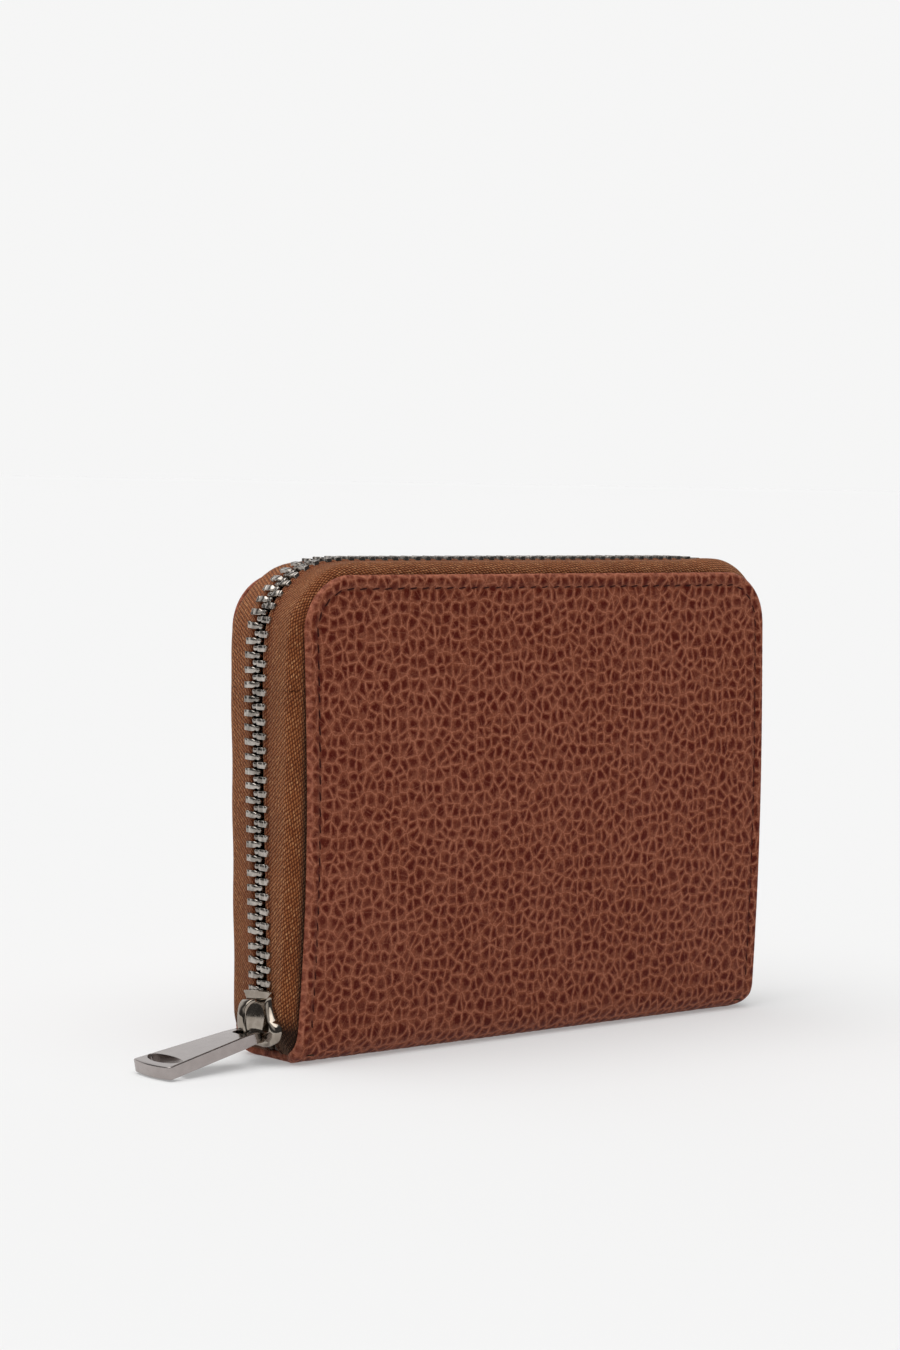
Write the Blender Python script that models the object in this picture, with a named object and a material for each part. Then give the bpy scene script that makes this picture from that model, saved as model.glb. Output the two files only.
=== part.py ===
"""Zip-around leather wallet, standing on its spine.

Metres, +Z up. The origin is the centre of the spine's flat underside, +X runs along the
wallet to its right, and the front cover faces -Y. The main zip's slider is at the -X end.
"""
from math import atan, cos, pi, radians, sin

import bmesh
import bpy
from mathutils import Matrix, Vector

# Cover panels
HALF_WIDTH = 0.0600
HALF_DEPTH = 0.0112
TOP = 0.0910
CORNER_RADIUS = 0.0115
LEATHER = 0.0012
COVER_BOTTOM = 0.0053
ARC_STEPS = 6

# Spine
SPINE_TOP = 0.0050
SPINE_CORNER = 0.0046
SPINE_WAIST = 0.0015
SPINE_STEPS = 4

# Layers behind each cover, as distances from the wallet's middle plane
BOARD_OUT, BOARD_IN = 0.0099, 0.0091
LINING_OUT, LINING_IN = 0.0090, 0.0085
BOARD_INSET = 0.0050
LINING_INSET = 0.0015
SLOT_THICK = 0.0004
SLOT_GAP = 0.0001
SLOT_HALF_WIDTH = 0.0500
SLOT_BOTTOM = 0.0080
SLOT_TOPS = (0.0740, 0.0660, 0.0580)

# Coin pocket between the two banknote compartments
POCKET_HALF_WIDTH = 0.0520
POCKET_HALF_DEPTH = 0.0026
POCKET_WALL = 0.0005
POCKET_BOTTOM = 0.0030
POCKET_TOP = 0.0740
COIN_ZIP_HALF_LENGTH = 0.0500
COIN_SLIDER_LENGTH = 0.0070
COIN_SLIDER_START = -0.0480

# Accordion gussets
GUSSET_OUTER_X = 0.0560
GUSSET_FOLD_X = 0.0470
GUSSET_BOTTOM = 0.0080
GUSSET_TOP = 0.0700
GUSSET_COVER_Y = 0.0066
GUSSET_POCKET_Y = 0.0030
GUSSET_THICK = 0.0004

# Main zip: distances "out" are measured from the panel's edge
TAPE_END = 0.0057
TAPE_THICK = 0.0006
TAPE_SEWN = 0.0045
TAPE_BEND = -0.0008
TAPE_BEND_DEPTH = 0.0022
TAPE_FACE_Y = 0.00955
TAPE_EDGE_Y = 0.00335
CHAIN_OUT = 0.0020
TOOTH_PITCH = 0.0027
TOOTH_LENGTH = 0.00115
TOOTH_HALF_HEIGHT = 0.00115
TOOTH_ROOT = 0.0031
TOOTH_NOSE = 0.0010
CORD_HALF_HEIGHT = 0.0004
CORD_NOSE = 0.0016
CHAIN_START_Z = 0.0096
CHAIN_END_Z = 0.0075
CHAIN_DRIFT = 0.0020
DRIFT_TOP = 0.0640

# Main slider
SLIDER_Z = 0.0085
SLIDER_HALF = 0.0051
SLIDER_TRAVEL = 0.0550
PLATE_OUTER = (0.00335, 0.00435)
PLATE_INNER = (-0.0006, 0.0006)
SLOT_HALF = 0.00045
FLANGE = 0.0007
DIAMOND_HALF = 0.0010
SLIDER_OUTLINE = (
    (0.0041, 0.0051), (0.0040, 0.0022), (0.0050, 0.0000), (0.0059, -0.0018),
    (0.0059, -0.0034), (0.0049, -0.0047), (0.0030, -0.0051),
)
BRIDGE_LINE = (
    (0.00490, 0.0122), (0.00560, 0.0113), (0.00670, 0.0099), (0.00710, 0.0082),
    (0.00715, 0.0062), (0.00690, 0.0048), (0.00620, 0.0039), (0.00530, 0.0036), (0.00490, 0.0036),
)
BRIDGE_THICK = 0.0008
BRIDGE_HALF_WIDTH = 0.0013

# Pull, in its own frame: r runs from the hinge to the tip
PULL_PIVOT_OUT = 0.0055
PULL_PIVOT_Z = 0.0057
PULL_DROOP = radians(10.7)
PULL_LENGTH = 0.0242
PULL_TIP_HALF = 0.00575
PULL_SHOULDER = 0.0036
PULL_SHOULDER_HALF = 0.0036
PULL_NECK_HALF = 0.0024
PULL_THICK = 0.0025
PULL_BAR = 0.0013
PULL_EYE = (0.00065, 0.0031)
PULL_EYE_HALF = 0.00155
PULL_HOLE_CENTRE = 0.0202
PULL_HOLE_HALF = 0.0042
PULL_HOLE_HEIGHT = 0.0032

# Every sub-part's colour, roughness and metallic value
LOOKS = {
    "leather": ((0.26, 0.095, 0.050, 1.0), 0.45, 0.0),
    "board": ((0.45, 0.36, 0.26, 1.0), 0.80, 0.0),
    "lining": ((0.20, 0.09, 0.045, 1.0), 0.75, 0.0),
    "tape": ((0.32, 0.13, 0.035, 1.0), 0.80, 0.0),
    "teeth": ((0.42, 0.40, 0.38, 1.0), 0.30, 1.0),
    "slider": ((0.70, 0.67, 0.63, 1.0), 0.15, 1.0),
    "pull": ((0.58, 0.54, 0.53, 1.0), 0.30, 1.0),
    "coil": ((0.16, 0.07, 0.03, 1.0), 0.45, 0.0),
}


def clear_scene():
    for old in list(bpy.data.objects):
        bpy.data.objects.remove(old, do_unlink=True)


def make_materials():
    made = {}
    for name, (colour, roughness, metallic) in LOOKS.items():
        material = bpy.data.materials.new(name)
        material.use_nodes = True
        shader = material.node_tree.nodes["Principled BSDF"]
        shader.inputs["Base Color"].default_value = colour
        shader.inputs["Roughness"].default_value = roughness
        shader.inputs["Metallic"].default_value = metallic
        made[name] = material
    return made


def loft(name, rings, look, smooth_angle=None):
    """A closed body through rings of equal length, capped at both ends."""
    bm = bmesh.new()
    loops = [[bm.verts.new(point) for point in ring] for ring in rings]
    for low, high in zip(loops, loops[1:]):
        for i in range(len(low)):
            j = (i + 1) % len(low)
            bm.faces.new((low[i], low[j], high[j], high[i]))
    bm.faces.new(list(reversed(loops[0])))
    bm.faces.new(loops[-1])
    bmesh.ops.recalc_face_normals(bm, faces=bm.faces)
    mesh = bpy.data.meshes.new(name)
    bm.to_mesh(mesh)
    bm.free()
    if smooth_angle is not None:
        mesh.shade_smooth()
        mesh.set_sharp_from_angle(angle=smooth_angle)
    mesh.materials.append(MATERIALS[look])
    obj = bpy.data.objects.new(name, mesh)
    bpy.context.collection.objects.link(obj)
    return obj


def plate(name, outline, y_from, y_to, look):
    """An outline in X and Z, given thickness along Y."""
    rings = [[(x, y, z) for x, z in outline] for y in (y_from, y_to)]
    return loft(name, rings, look)


def box(name, low, high, look):
    corners = ((low[0], low[2]), (high[0], low[2]), (high[0], high[2]), (low[0], high[2]))
    return plate(name, corners, low[1], high[1], look)


def cutter(obj):
    obj.hide_render = True
    obj.display_type = "WIRE"
    return obj


def boolean(obj, other, operation):
    modifier = obj.modifiers.new(operation.lower() + "_" + other.name, "BOOLEAN")
    modifier.operation = operation
    modifier.object = cutter(other)


def panel_outline(inset, bottom):
    """The cover's outline, drawn in by inset, with round corners at the top only."""
    radius = CORNER_RADIUS - inset
    half = HALF_WIDTH - inset
    centre_x = half - radius
    centre_z = TOP - inset - radius
    points = [(-half, bottom), (half, bottom)]
    for side, start in ((1, 0.0), (-1, pi / 2)):
        for step in range(ARC_STEPS + 1):
            angle = start + step * pi / 2 / ARC_STEPS
            points.append((side * centre_x + radius * cos(angle), centre_z + radius * sin(angle)))
    return points


# The zip's path round the cover's edge

CENTRE_X = HALF_WIDTH - CORNER_RADIUS
CENTRE_Z = TOP - CORNER_RADIUS
STRAIGHT = CENTRE_Z - TAPE_END
BEND = pi / 2 * (CORNER_RADIUS + CHAIN_OUT)
CROWN = 2 * CENTRE_X
PATH_LENGTH = 2 * STRAIGHT + 2 * BEND + CROWN


def path_frame(s):
    """Point on the panel's edge and its outward direction, for a length s along the chain."""
    if s <= STRAIGHT:
        return Vector((-HALF_WIDTH, 0, TAPE_END + s)), Vector((-1, 0, 0))
    if s <= STRAIGHT + BEND:
        angle = pi - (s - STRAIGHT) / BEND * pi / 2
        out = Vector((cos(angle), 0, sin(angle)))
        return Vector((-CENTRE_X, 0, CENTRE_Z)) + CORNER_RADIUS * out, out
    if s <= STRAIGHT + BEND + CROWN:
        return Vector((-CENTRE_X + s - STRAIGHT - BEND, 0, TOP)), Vector((0, 0, 1))
    if s <= STRAIGHT + 2 * BEND + CROWN:
        angle = pi / 2 - (s - STRAIGHT - BEND - CROWN) / BEND * pi / 2
        out = Vector((cos(angle), 0, sin(angle)))
        return Vector((CENTRE_X, 0, CENTRE_Z)) + CORNER_RADIUS * out, out
    return Vector((HALF_WIDTH, 0, TAPE_END + PATH_LENGTH - s)), Vector((1, 0, 0))


def chain_y(s):
    """The chain leans towards the front cover on its way down to the slider."""
    lean = (DRIFT_TOP - TAPE_END - s) / (DRIFT_TOP - SLIDER_Z)
    return -CHAIN_DRIFT * max(0.0, lean)


def tape_section(edge_y):
    """Half of the tape across its width: sewn flange, bend and flat, as (out, y from centre)."""
    middle = [(-TAPE_SEWN, TAPE_FACE_Y)]
    for step in range(6):
        angle = step * pi / 2 / 5
        out = TAPE_BEND + (CHAIN_OUT - TAPE_BEND) * sin(angle)
        middle.append((out, TAPE_FACE_Y - TAPE_BEND_DEPTH * (1 - cos(angle))))
    middle.append((CHAIN_OUT, edge_y))
    upper, lower = [], []
    for i, (out, y) in enumerate(middle):
        before = middle[max(i - 1, 0)]
        after = middle[min(i + 1, len(middle) - 1)]
        along = Vector((after[0] - before[0], after[1] - before[1])).normalized()
        upper.append((out + along.y * -TAPE_THICK / 2, y + along.x * TAPE_THICK / 2))
        lower.append((out + along.y * TAPE_THICK / 2, y - along.x * TAPE_THICK / 2))
    return upper + lower[::-1]


def zip_tape(name, side):
    arc = [k * BEND / ARC_STEPS for k in range(ARC_STEPS + 1)]
    stations = [0.0, DRIFT_TOP - TAPE_END]
    stations += [STRAIGHT + a for a in arc]
    stations += [STRAIGHT + BEND + CROWN + a for a in arc]
    stations.append(PATH_LENGTH)
    rings = []
    for s in stations:
        base, out = path_frame(s)
        section = tape_section(TAPE_EDGE_Y + side * chain_y(s))
        rings.append([base + out * o + Vector((0, side * y, 0)) for o, y in section])
    return loft(name, rings, "tape", smooth_angle=radians(40))


def tooth_ring(s, side, half_height, root, nose):
    base, out = path_frame(s)
    middle = Vector((0, chain_y(s), 0))
    corners = ((-half_height, root), (half_height, root), (half_height, nose), (-half_height, nose))
    return [base + out * (CHAIN_OUT + o) + middle + Vector((0, side * y, 0)) for o, y in corners]


def teeth_row(name, side, first, last):
    """One side's teeth and the cord they are clamped on, as one body."""
    cord = (CORD_HALF_HEIGHT, TOOTH_ROOT - 0.0003, CORD_NOSE)
    tooth = (TOOTH_HALF_HEIGHT, TOOTH_ROOT, -TOOTH_NOSE)
    start = CHAIN_START_Z - TAPE_END + (0 if side < 0 else TOOTH_PITCH / 2)
    rings = []
    for k in range(first, last):
        s = start + k * TOOTH_PITCH
        rings.append(tooth_ring(s - TOOTH_LENGTH / 2, side, *(tooth if k == first else cord)))
        if k > first:
            rings.append(tooth_ring(s - TOOTH_LENGTH / 2, side, *tooth))
        rings.append(tooth_ring(s + TOOTH_LENGTH / 2, side, *tooth))
        if k < last - 1:
            rings.append(tooth_ring(s + TOOTH_LENGTH / 2, side, *cord))
    return loft(name, rings, "teeth")


LOWER_TEETH = int((DRIFT_TOP + 0.0055 - CHAIN_START_Z) / TOOTH_PITCH)
ALL_TEETH = int((PATH_LENGTH - (CHAIN_START_Z - TAPE_END) - (CHAIN_END_Z - TAPE_END)) / TOOTH_PITCH)


# Covers

def gusset(name, end, side):
    """A leather strip folded inwards between the cover and the coin pocket."""
    fold_y = (GUSSET_COVER_Y + GUSSET_POCKET_Y) / 2
    slope = atan((GUSSET_COVER_Y - fold_y) / (GUSSET_OUTER_X - GUSSET_FOLD_X))
    shift = GUSSET_THICK / sin(slope)
    outline = [
        (GUSSET_OUTER_X, GUSSET_COVER_Y), (GUSSET_FOLD_X, fold_y), (GUSSET_OUTER_X, GUSSET_POCKET_Y),
        (GUSSET_OUTER_X, GUSSET_POCKET_Y + GUSSET_THICK), (GUSSET_FOLD_X + shift, fold_y),
        (GUSSET_OUTER_X, GUSSET_COVER_Y - GUSSET_THICK),
    ]
    rings = [[(end * x, side * y, z) for x, y in outline] for z in (GUSSET_BOTTOM, GUSSET_TOP)]
    return loft(name, rings, "lining")


def cover(word, side):
    plate(word + "_leather", panel_outline(0, COVER_BOTTOM),
          side * HALF_DEPTH, side * (HALF_DEPTH - LEATHER), "leather")
    plate(word + "_board", panel_outline(BOARD_INSET, COVER_BOTTOM + 0.0012),
          side * BOARD_OUT, side * BOARD_IN, "board")
    plate(word + "_lining", panel_outline(LINING_INSET, COVER_BOTTOM + 0.0007),
          side * LINING_OUT, side * LINING_IN, "lining")
    face = LINING_IN - SLOT_GAP
    for number, top in enumerate(SLOT_TOPS, start=1):
        box(word + "_card_slot_" + str(number),
            (-SLOT_HALF_WIDTH, min(side * face, side * (face - SLOT_THICK)), SLOT_BOTTOM),
            (SLOT_HALF_WIDTH, max(side * face, side * (face - SLOT_THICK)), top), "lining")
        face -= SLOT_THICK + SLOT_GAP
    zip_tape(word + "_zip_tape", side)
    teeth_row(word + "_teeth_lower", side, 0, LOWER_TEETH)
    teeth_row(word + "_teeth_upper", side, LOWER_TEETH, ALL_TEETH)
    for end_word, end in (("left", -1), ("right", 1)):
        gusset(word + "_" + end_word + "_gusset", end, side)
    middle = chain_y(-0.003)
    box(word + "_top_stop",
        (-HALF_WIDTH - CHAIN_OUT - 0.0010, middle + side * 0.0036 - 0.0007, 0.0016),
        (-HALF_WIDTH - CHAIN_OUT + 0.0010, middle + side * 0.0036 + 0.0007, 0.0031), "teeth")


# Spine

def spine_section(half, bottom, corner, top):
    """Left half to right half of the U, from wall top to wall top, as (y, z)."""
    points = [(-half, top)]
    for side, start in ((-1, pi), (1, 1.5 * pi)):
        for step in range(SPINE_STEPS + 1):
            angle = start + step * pi / 2 / SPINE_STEPS
            centre_y = side * (half - corner)
            points.append((centre_y + corner * cos(angle), bottom + corner + corner * sin(angle)))
    points.append((half, top))
    return points


def waist_outline():
    """The spine's side view, with its lower corners slightly rounded."""
    points = [(HALF_WIDTH, 2 * SPINE_WAIST), (-HALF_WIDTH, 2 * SPINE_WAIST)]
    for side, start in ((-1, pi), (1, 1.5 * pi)):
        for step in range(ARC_STEPS + 1):
            angle = start + step * pi / 2 / ARC_STEPS
            centre_x = side * (HALF_WIDTH - SPINE_WAIST)
            points.append((centre_x + SPINE_WAIST * cos(angle), SPINE_WAIST + SPINE_WAIST * sin(angle)))
    return points


def spine():
    outer = spine_section(HALF_DEPTH, 0.0, SPINE_CORNER, SPINE_TOP)
    inner = spine_section(HALF_DEPTH - LEATHER, LEATHER, SPINE_CORNER - LEATHER, SPINE_TOP)
    section = outer + inner[::-1]
    rings = [[(x, y, z) for y, z in section] for x in (-HALF_WIDTH, HALF_WIDTH)]
    leather = loft("spine_leather", rings, "leather", smooth_angle=radians(35))
    waist = plate("spine_waist", waist_outline(), -2 * HALF_DEPTH, 2 * HALF_DEPTH, "leather")
    boolean(leather, waist, "INTERSECT")
    box("spine_board", (-0.0530, -0.0068, 0.0013), (0.0530, 0.0068, 0.0020), "board")
    box("spine_lining", (-0.0550, -0.0078, 0.0022), (0.0550, 0.0078, 0.0027), "lining")
    box("bottom_stop", (HALF_WIDTH + CHAIN_OUT - 0.0012, -0.0031, 0.0040),
        (HALF_WIDTH + CHAIN_OUT + 0.0012, 0.0031, CHAIN_END_Z - 0.0012), "teeth")


# Coin pocket and its zip

def coin_pocket():
    pouch = box("coin_pocket", (-POCKET_HALF_WIDTH, -POCKET_HALF_DEPTH, POCKET_BOTTOM),
                (POCKET_HALF_WIDTH, POCKET_HALF_DEPTH, POCKET_TOP), "lining")
    room = box("coin_room",
               (POCKET_WALL - POCKET_HALF_WIDTH, POCKET_WALL - POCKET_HALF_DEPTH, POCKET_BOTTOM + POCKET_WALL),
               (POCKET_HALF_WIDTH - POCKET_WALL, POCKET_HALF_DEPTH - POCKET_WALL, POCKET_TOP + 0.001), "lining")
    boolean(pouch, room, "DIFFERENCE")
    zip_z = POCKET_TOP + 0.00015
    for word, side in (("front", -1), ("back", 1)):
        tape_y = sorted((side * POCKET_HALF_DEPTH, side * 0.00105))
        coil_y = sorted((side * 0.00095, side * 0.00010))
        box("coin_tape_" + word, (-COIN_ZIP_HALF_LENGTH, tape_y[0], zip_z),
            (COIN_ZIP_HALF_LENGTH, tape_y[1], zip_z + 0.0005), "tape")
        box("coin_coil_" + word, (-COIN_ZIP_HALF_LENGTH, coil_y[0], zip_z - 0.0001),
            (COIN_ZIP_HALF_LENGTH, coil_y[1], zip_z + 0.0011), "coil")


def coin_slider():
    """Slider saddle over the coil, with a lug for its pull."""
    zip_z = POCKET_TOP + 0.00015
    low_z, roof_z, top_z = zip_z + 0.0007, zip_z + 0.0013, zip_z + 0.0020
    start = COIN_SLIDER_START
    end = start + COIN_SLIDER_LENGTH
    profile = [
        (-0.0018, low_z), (-0.0012, low_z), (-0.0012, roof_z), (0.0012, roof_z), (0.0012, low_z),
        (0.0018, low_z), (0.0018, top_z), (0.0005, top_z), (0.0005, top_z + 0.0016),
        (-0.0005, top_z + 0.0016), (-0.0005, top_z), (-0.0018, top_z),
    ]
    rings = [[(x, y, z) for y, z in profile] for x in (start, end)]
    body = loft("coin_slider_body", rings, "slider")
    eye = box("coin_eye", (start + 0.0022, -0.001, top_z + 0.0003),
              (end - 0.0022, 0.001, top_z + 0.0012), "slider")
    ends = box("coin_lug_trim", (start - 0.001, -0.001, top_z), (start + 0.0014, 0.001, top_z + 0.003), "slider")
    boolean(body, eye, "DIFFERENCE")
    boolean(body, ends, "DIFFERENCE")
    pivot = Vector((start + COIN_SLIDER_LENGTH / 2, 0, top_z + 0.00075))
    pull = box("coin_pull", (-0.00025, -0.0022, -0.00030), (0.0120, 0.0022, 0.00030), "pull")
    window = box("coin_pull_window", (0.00025, -0.0008, -0.002), (0.0042, 0.0008, 0.002), "pull")
    pull.location = pivot
    window.location = pivot
    boolean(pull, window, "DIFFERENCE")


# Main slider and pull

def prism_out(name, outline, out_from, out_to, look):
    """An outline across and up the slider, given thickness outwards from the panel's edge."""
    rings = [[(-HALF_WIDTH - out, across, up) for across, up in outline] for out in (out_from, out_to)]
    return loft(name, rings, look)


def mirrored(half):
    return list(half) + [(-across, up) for across, up in reversed(half)]


def place_on_chain(obj):
    lean = atan(CHAIN_DRIFT / (DRIFT_TOP - SLIDER_Z))
    obj.matrix_world = Matrix.Translation((0, -CHAIN_DRIFT, SLIDER_Z)) @ Matrix.Rotation(-lean, 4, "X")


def slider_body():
    body = prism_out("slider_body", mirrored(SLIDER_OUTLINE), PLATE_INNER[0], PLATE_OUTER[1], "slider")
    inner = [(across - FLANGE, up) for across, up in SLIDER_OUTLINE[:5]]
    inner[0] = (inner[0][0], SLIDER_HALF + 0.001)
    inner[-1] = (inner[-1][0], -SLIDER_HALF - 0.001)
    channel = prism_out("slider_channel", mirrored(inner), PLATE_INNER[1], PLATE_OUTER[0], "slider")
    reach = 0.008
    frame = ((-reach, -reach), (reach, -reach), (reach, reach), (-reach, reach))
    tape_slot = prism_out("slider_tape_slot", frame, CHAIN_OUT - SLOT_HALF, CHAIN_OUT + SLOT_HALF, "slider")
    diamond = prism_out("slider_diamond",
                        ((0.0, -0.0003), (-DIAMOND_HALF, -0.0022), (-0.0006, -0.0044),
                         (0.0006, -0.0044), (DIAMOND_HALF, -0.0022)),
                        PLATE_INNER[1] - 0.0003, PLATE_OUTER[0] + 0.0003, "slider")
    for obj in (body, channel, tape_slot, diamond):
        place_on_chain(obj)
    boolean(body, channel, "DIFFERENCE")
    boolean(body, tape_slot, "DIFFERENCE")
    boolean(body, diamond, "UNION")


def slider_bridge():
    upper, lower = [], []
    for i, (out, z) in enumerate(BRIDGE_LINE):
        before = BRIDGE_LINE[max(i - 1, 0)]
        after = BRIDGE_LINE[min(i + 1, len(BRIDGE_LINE) - 1)]
        along = Vector((after[0] - before[0], after[1] - before[1])).normalized()
        upper.append((out - along.y * BRIDGE_THICK / 2, z + along.x * BRIDGE_THICK / 2))
        lower.append((out + along.y * BRIDGE_THICK / 2, z - along.x * BRIDGE_THICK / 2))
    section = upper + lower[::-1]
    rings = [[(-HALF_WIDTH - out, y, z - SLIDER_Z) for out, z in section]
             for y in (-BRIDGE_HALF_WIDTH, BRIDGE_HALF_WIDTH)]
    place_on_chain(loft("slider_bridge", rings, "slider", smooth_angle=radians(50)))


def lens(centre, half_width, height):
    """A flat-topped lens across the pull: an arc towards the tip, a shallower one towards the hinge."""
    points = []
    for step in range(9):
        angle = pi * step / 8
        points.append((centre + 0.65 * height * sin(angle), half_width * cos(angle)))
    for step in range(1, 8):
        angle = pi + pi * step / 8
        points.append((centre + 0.35 * height * sin(angle), half_width * cos(angle)))
    return points


def pull_tab():
    """The pull lies along -X from its hinge, and droops until its tip meets the floor."""
    edge = [(-PULL_BAR / 2, PULL_NECK_HALF), (PULL_SHOULDER - 0.0004, PULL_NECK_HALF),
            (PULL_SHOULDER, PULL_SHOULDER_HALF - 0.0007), (PULL_SHOULDER + 0.0007, PULL_SHOULDER_HALF),
            (PULL_LENGTH - 0.0012, PULL_TIP_HALF), (PULL_LENGTH - 0.0006, PULL_TIP_HALF - 0.0006),
            (PULL_LENGTH, PULL_TIP_HALF / 3)]
    outline = edge + [(r, -w) for r, w in reversed(edge)]
    rings = []
    for face in (-1, 1):
        ring = []
        for r, w in outline:
            thick = PULL_BAR if r < PULL_SHOULDER - 0.0010 else PULL_THICK
            ring.append((-r, w, face * thick / 2))
        rings.append(ring)
    tab = loft("pull_tab", rings, "pull")
    eye = box("pull_eye", (-PULL_EYE[1], -PULL_EYE_HALF, -0.003), (-PULL_EYE[0], PULL_EYE_HALF, 0.003), "pull")
    hole_rings = [[(-r, w, z) for r, w in lens(PULL_HOLE_CENTRE, PULL_HOLE_HALF, PULL_HOLE_HEIGHT)]
                  for z in (-0.003, 0.003)]
    hole = loft("pull_hole", hole_rings, "pull")
    pivot = (-HALF_WIDTH - PULL_PIVOT_OUT, -CHAIN_DRIFT, PULL_PIVOT_Z)
    for obj in (tab, eye, hole):
        obj.matrix_world = Matrix.Translation(pivot) @ Matrix.Rotation(-PULL_DROOP, 4, "Y")
    boolean(tab, eye, "DIFFERENCE")
    boolean(tab, hole, "DIFFERENCE")


clear_scene()
MATERIALS = make_materials()
spine()
coin_pocket()
coin_slider()
cover("front", -1)
cover("back", 1)
slider_body()
slider_bridge()
pull_tab()
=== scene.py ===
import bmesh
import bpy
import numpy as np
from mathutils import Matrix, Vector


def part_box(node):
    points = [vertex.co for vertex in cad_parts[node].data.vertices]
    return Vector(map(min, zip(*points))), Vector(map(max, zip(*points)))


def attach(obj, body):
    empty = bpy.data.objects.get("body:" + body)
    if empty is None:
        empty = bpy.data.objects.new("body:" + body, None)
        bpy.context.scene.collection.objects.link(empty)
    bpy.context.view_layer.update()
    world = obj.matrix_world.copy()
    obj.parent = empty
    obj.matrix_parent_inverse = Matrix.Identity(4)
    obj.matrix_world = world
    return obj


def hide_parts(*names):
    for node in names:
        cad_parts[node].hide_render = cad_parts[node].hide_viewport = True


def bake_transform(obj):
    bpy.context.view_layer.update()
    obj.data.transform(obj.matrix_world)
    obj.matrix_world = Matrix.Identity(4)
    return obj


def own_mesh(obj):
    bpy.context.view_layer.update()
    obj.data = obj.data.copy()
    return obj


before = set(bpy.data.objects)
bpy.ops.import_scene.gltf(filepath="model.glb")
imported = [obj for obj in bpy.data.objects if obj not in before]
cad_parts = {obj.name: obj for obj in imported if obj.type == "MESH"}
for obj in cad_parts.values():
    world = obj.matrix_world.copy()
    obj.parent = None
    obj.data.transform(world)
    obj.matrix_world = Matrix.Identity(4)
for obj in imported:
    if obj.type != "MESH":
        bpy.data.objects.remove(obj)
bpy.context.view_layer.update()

# The looks of a zip-around leather wallet that stands on its spine.
#
# Lengths in this script are in millimetres; make_mesh() turns them into the frame's metres.
# "side" is -1 for the front cover, which faces -Y, and +1 for the back cover.

MM = 0.001
PI = np.pi
WORDS = {-1: "front", 1: "back"}

# Sizes read from the frame
LEATHER_LOW, LEATHER_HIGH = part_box("front_leather")
HALF = LEATHER_HIGH.x / MM
TOP = LEATHER_HIGH.z / MM
CAD_FACE = -LEATHER_LOW.y / MM
TAPE_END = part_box("front_zip_tape")[0].z / MM

# The covers and the spine. DEPTHS, BELLY, PINCH and SAG are by cover, FOOT_ROUND is by left and right
CORNER = 10.5
SKIN = 1.2
LIP = 1.9
EDGE_ROUND = 0.9
EDGE_ANGLES = np.radians((18, 36, 54, 72, 90))
HEM_RUNS = (0.3, 0.6, 0.9, 1.2, 1.5, 1.9, 2.2, 5.0)
HIDE_APART = 400
GRID_STEPS = 214
CORNER_STEPS = 17
SPINE_ROUND = 5.6
FOOT_ROUND = {-1: 1.5, 1: 3.4}
DEPTHS = {-1: (10.45, 11.2), 1: (9.7, 13.1)}
BELLY = {-1: 1.05, 1: 0.0}
BELLY_SPAN = 82
PINCH = {-1: 0.85, 1: 0.0}
SAG = {-1: 0.0, 1: 0.8}
SAG_FROM_X = 38
SAG_FROM_Z = 50
BULGE = 0.35
STITCH_INSET = 2.6
STITCH_PITCH = 3.0
STITCH_START_Z = 6.5
STITCH_RADIUS = 0.22
GRAIN_DEPTH = 0.08
PEBBLE = 2.1
PEBBLE_STRETCH = 1.15

# The main zip
CHAIN_OUT = 2.0
TOOTH_PITCH = 2.7
CHAIN_START_Z = 9.6
CHAIN_END_Z = 7.5
CHAIN_LOW_Y = -2.0
CHAIN_HIGH_Y = 0.95
DRIFT_TOP = 66.0
CORNER_DIP = 1.4
SLIDER_Z = 8.5
PARTED = 69.5

# Where the layers inside lie: |y| of each one's middle
BOARD_Y = 9.5
LINING_Y = 8.75
SLOT_Y = (8.2, 7.7, 7.2)
SLOT_TOP = (74.0, 66.0, 58.0)
SLOT_LOW = 8.0
COIL_TURNS = 90
COIN_PULL_Z = 76.9


# ---------------------------------------------------------------- points, lines and faces

def unit(values):
    """Values held between 0 and 1."""
    return np.clip(values, 0, 1)


def xyz(x, y, z):
    """Points from coordinates, each an array or one number."""
    return np.stack(np.broadcast_arrays(x, y, z), -1)


def directions(line):
    """The unit direction of a line at each of its points."""
    along = np.gradient(np.asarray(line, float), axis=0)
    return along / np.linalg.norm(along, axis=1)[:, None]


def lengths(line):
    """The length run along a line, at each of its points."""
    return np.concatenate([[0], np.cumsum(np.linalg.norm(np.diff(line, axis=0), axis=1))])


def smooth_line(points, steps=4):
    """A Catmull-Rom curve through the points."""
    points = np.asarray(points, float)
    last = len(points) - 1
    result = []
    for k in range(last):
        a, b, c, d = (points[min(max(k + j, 0), last)] for j in (-1, 0, 1, 2))
        for t in np.arange(steps) / steps:
            result.append(0.5 * (2 * b + (c - a) * t + (2 * a - 5 * b + 4 * c - d) * t ** 2
                                 + (3 * b - a - 3 * c + d) * t ** 3))
    result.append(points[-1])
    return np.array(result)


def mirrored(half, flip=(1, -1)):
    """A closed outline from one half, whose ends lie on the line of symmetry."""
    half = np.asarray(half, float)
    return np.concatenate([half, half[-2:0:-1] * flip])


def inward(outline):
    """The unit direction into a closed outline at each of its points."""
    along = np.roll(outline, -1, 0) - np.roll(outline, 1, 0)
    along /= np.linalg.norm(along, axis=1)[:, None]
    normal = np.stack([-along[:, 1], along[:, 0]], -1)
    return normal * np.sign((normal * (outline.mean(0) - outline)).sum())


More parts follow.
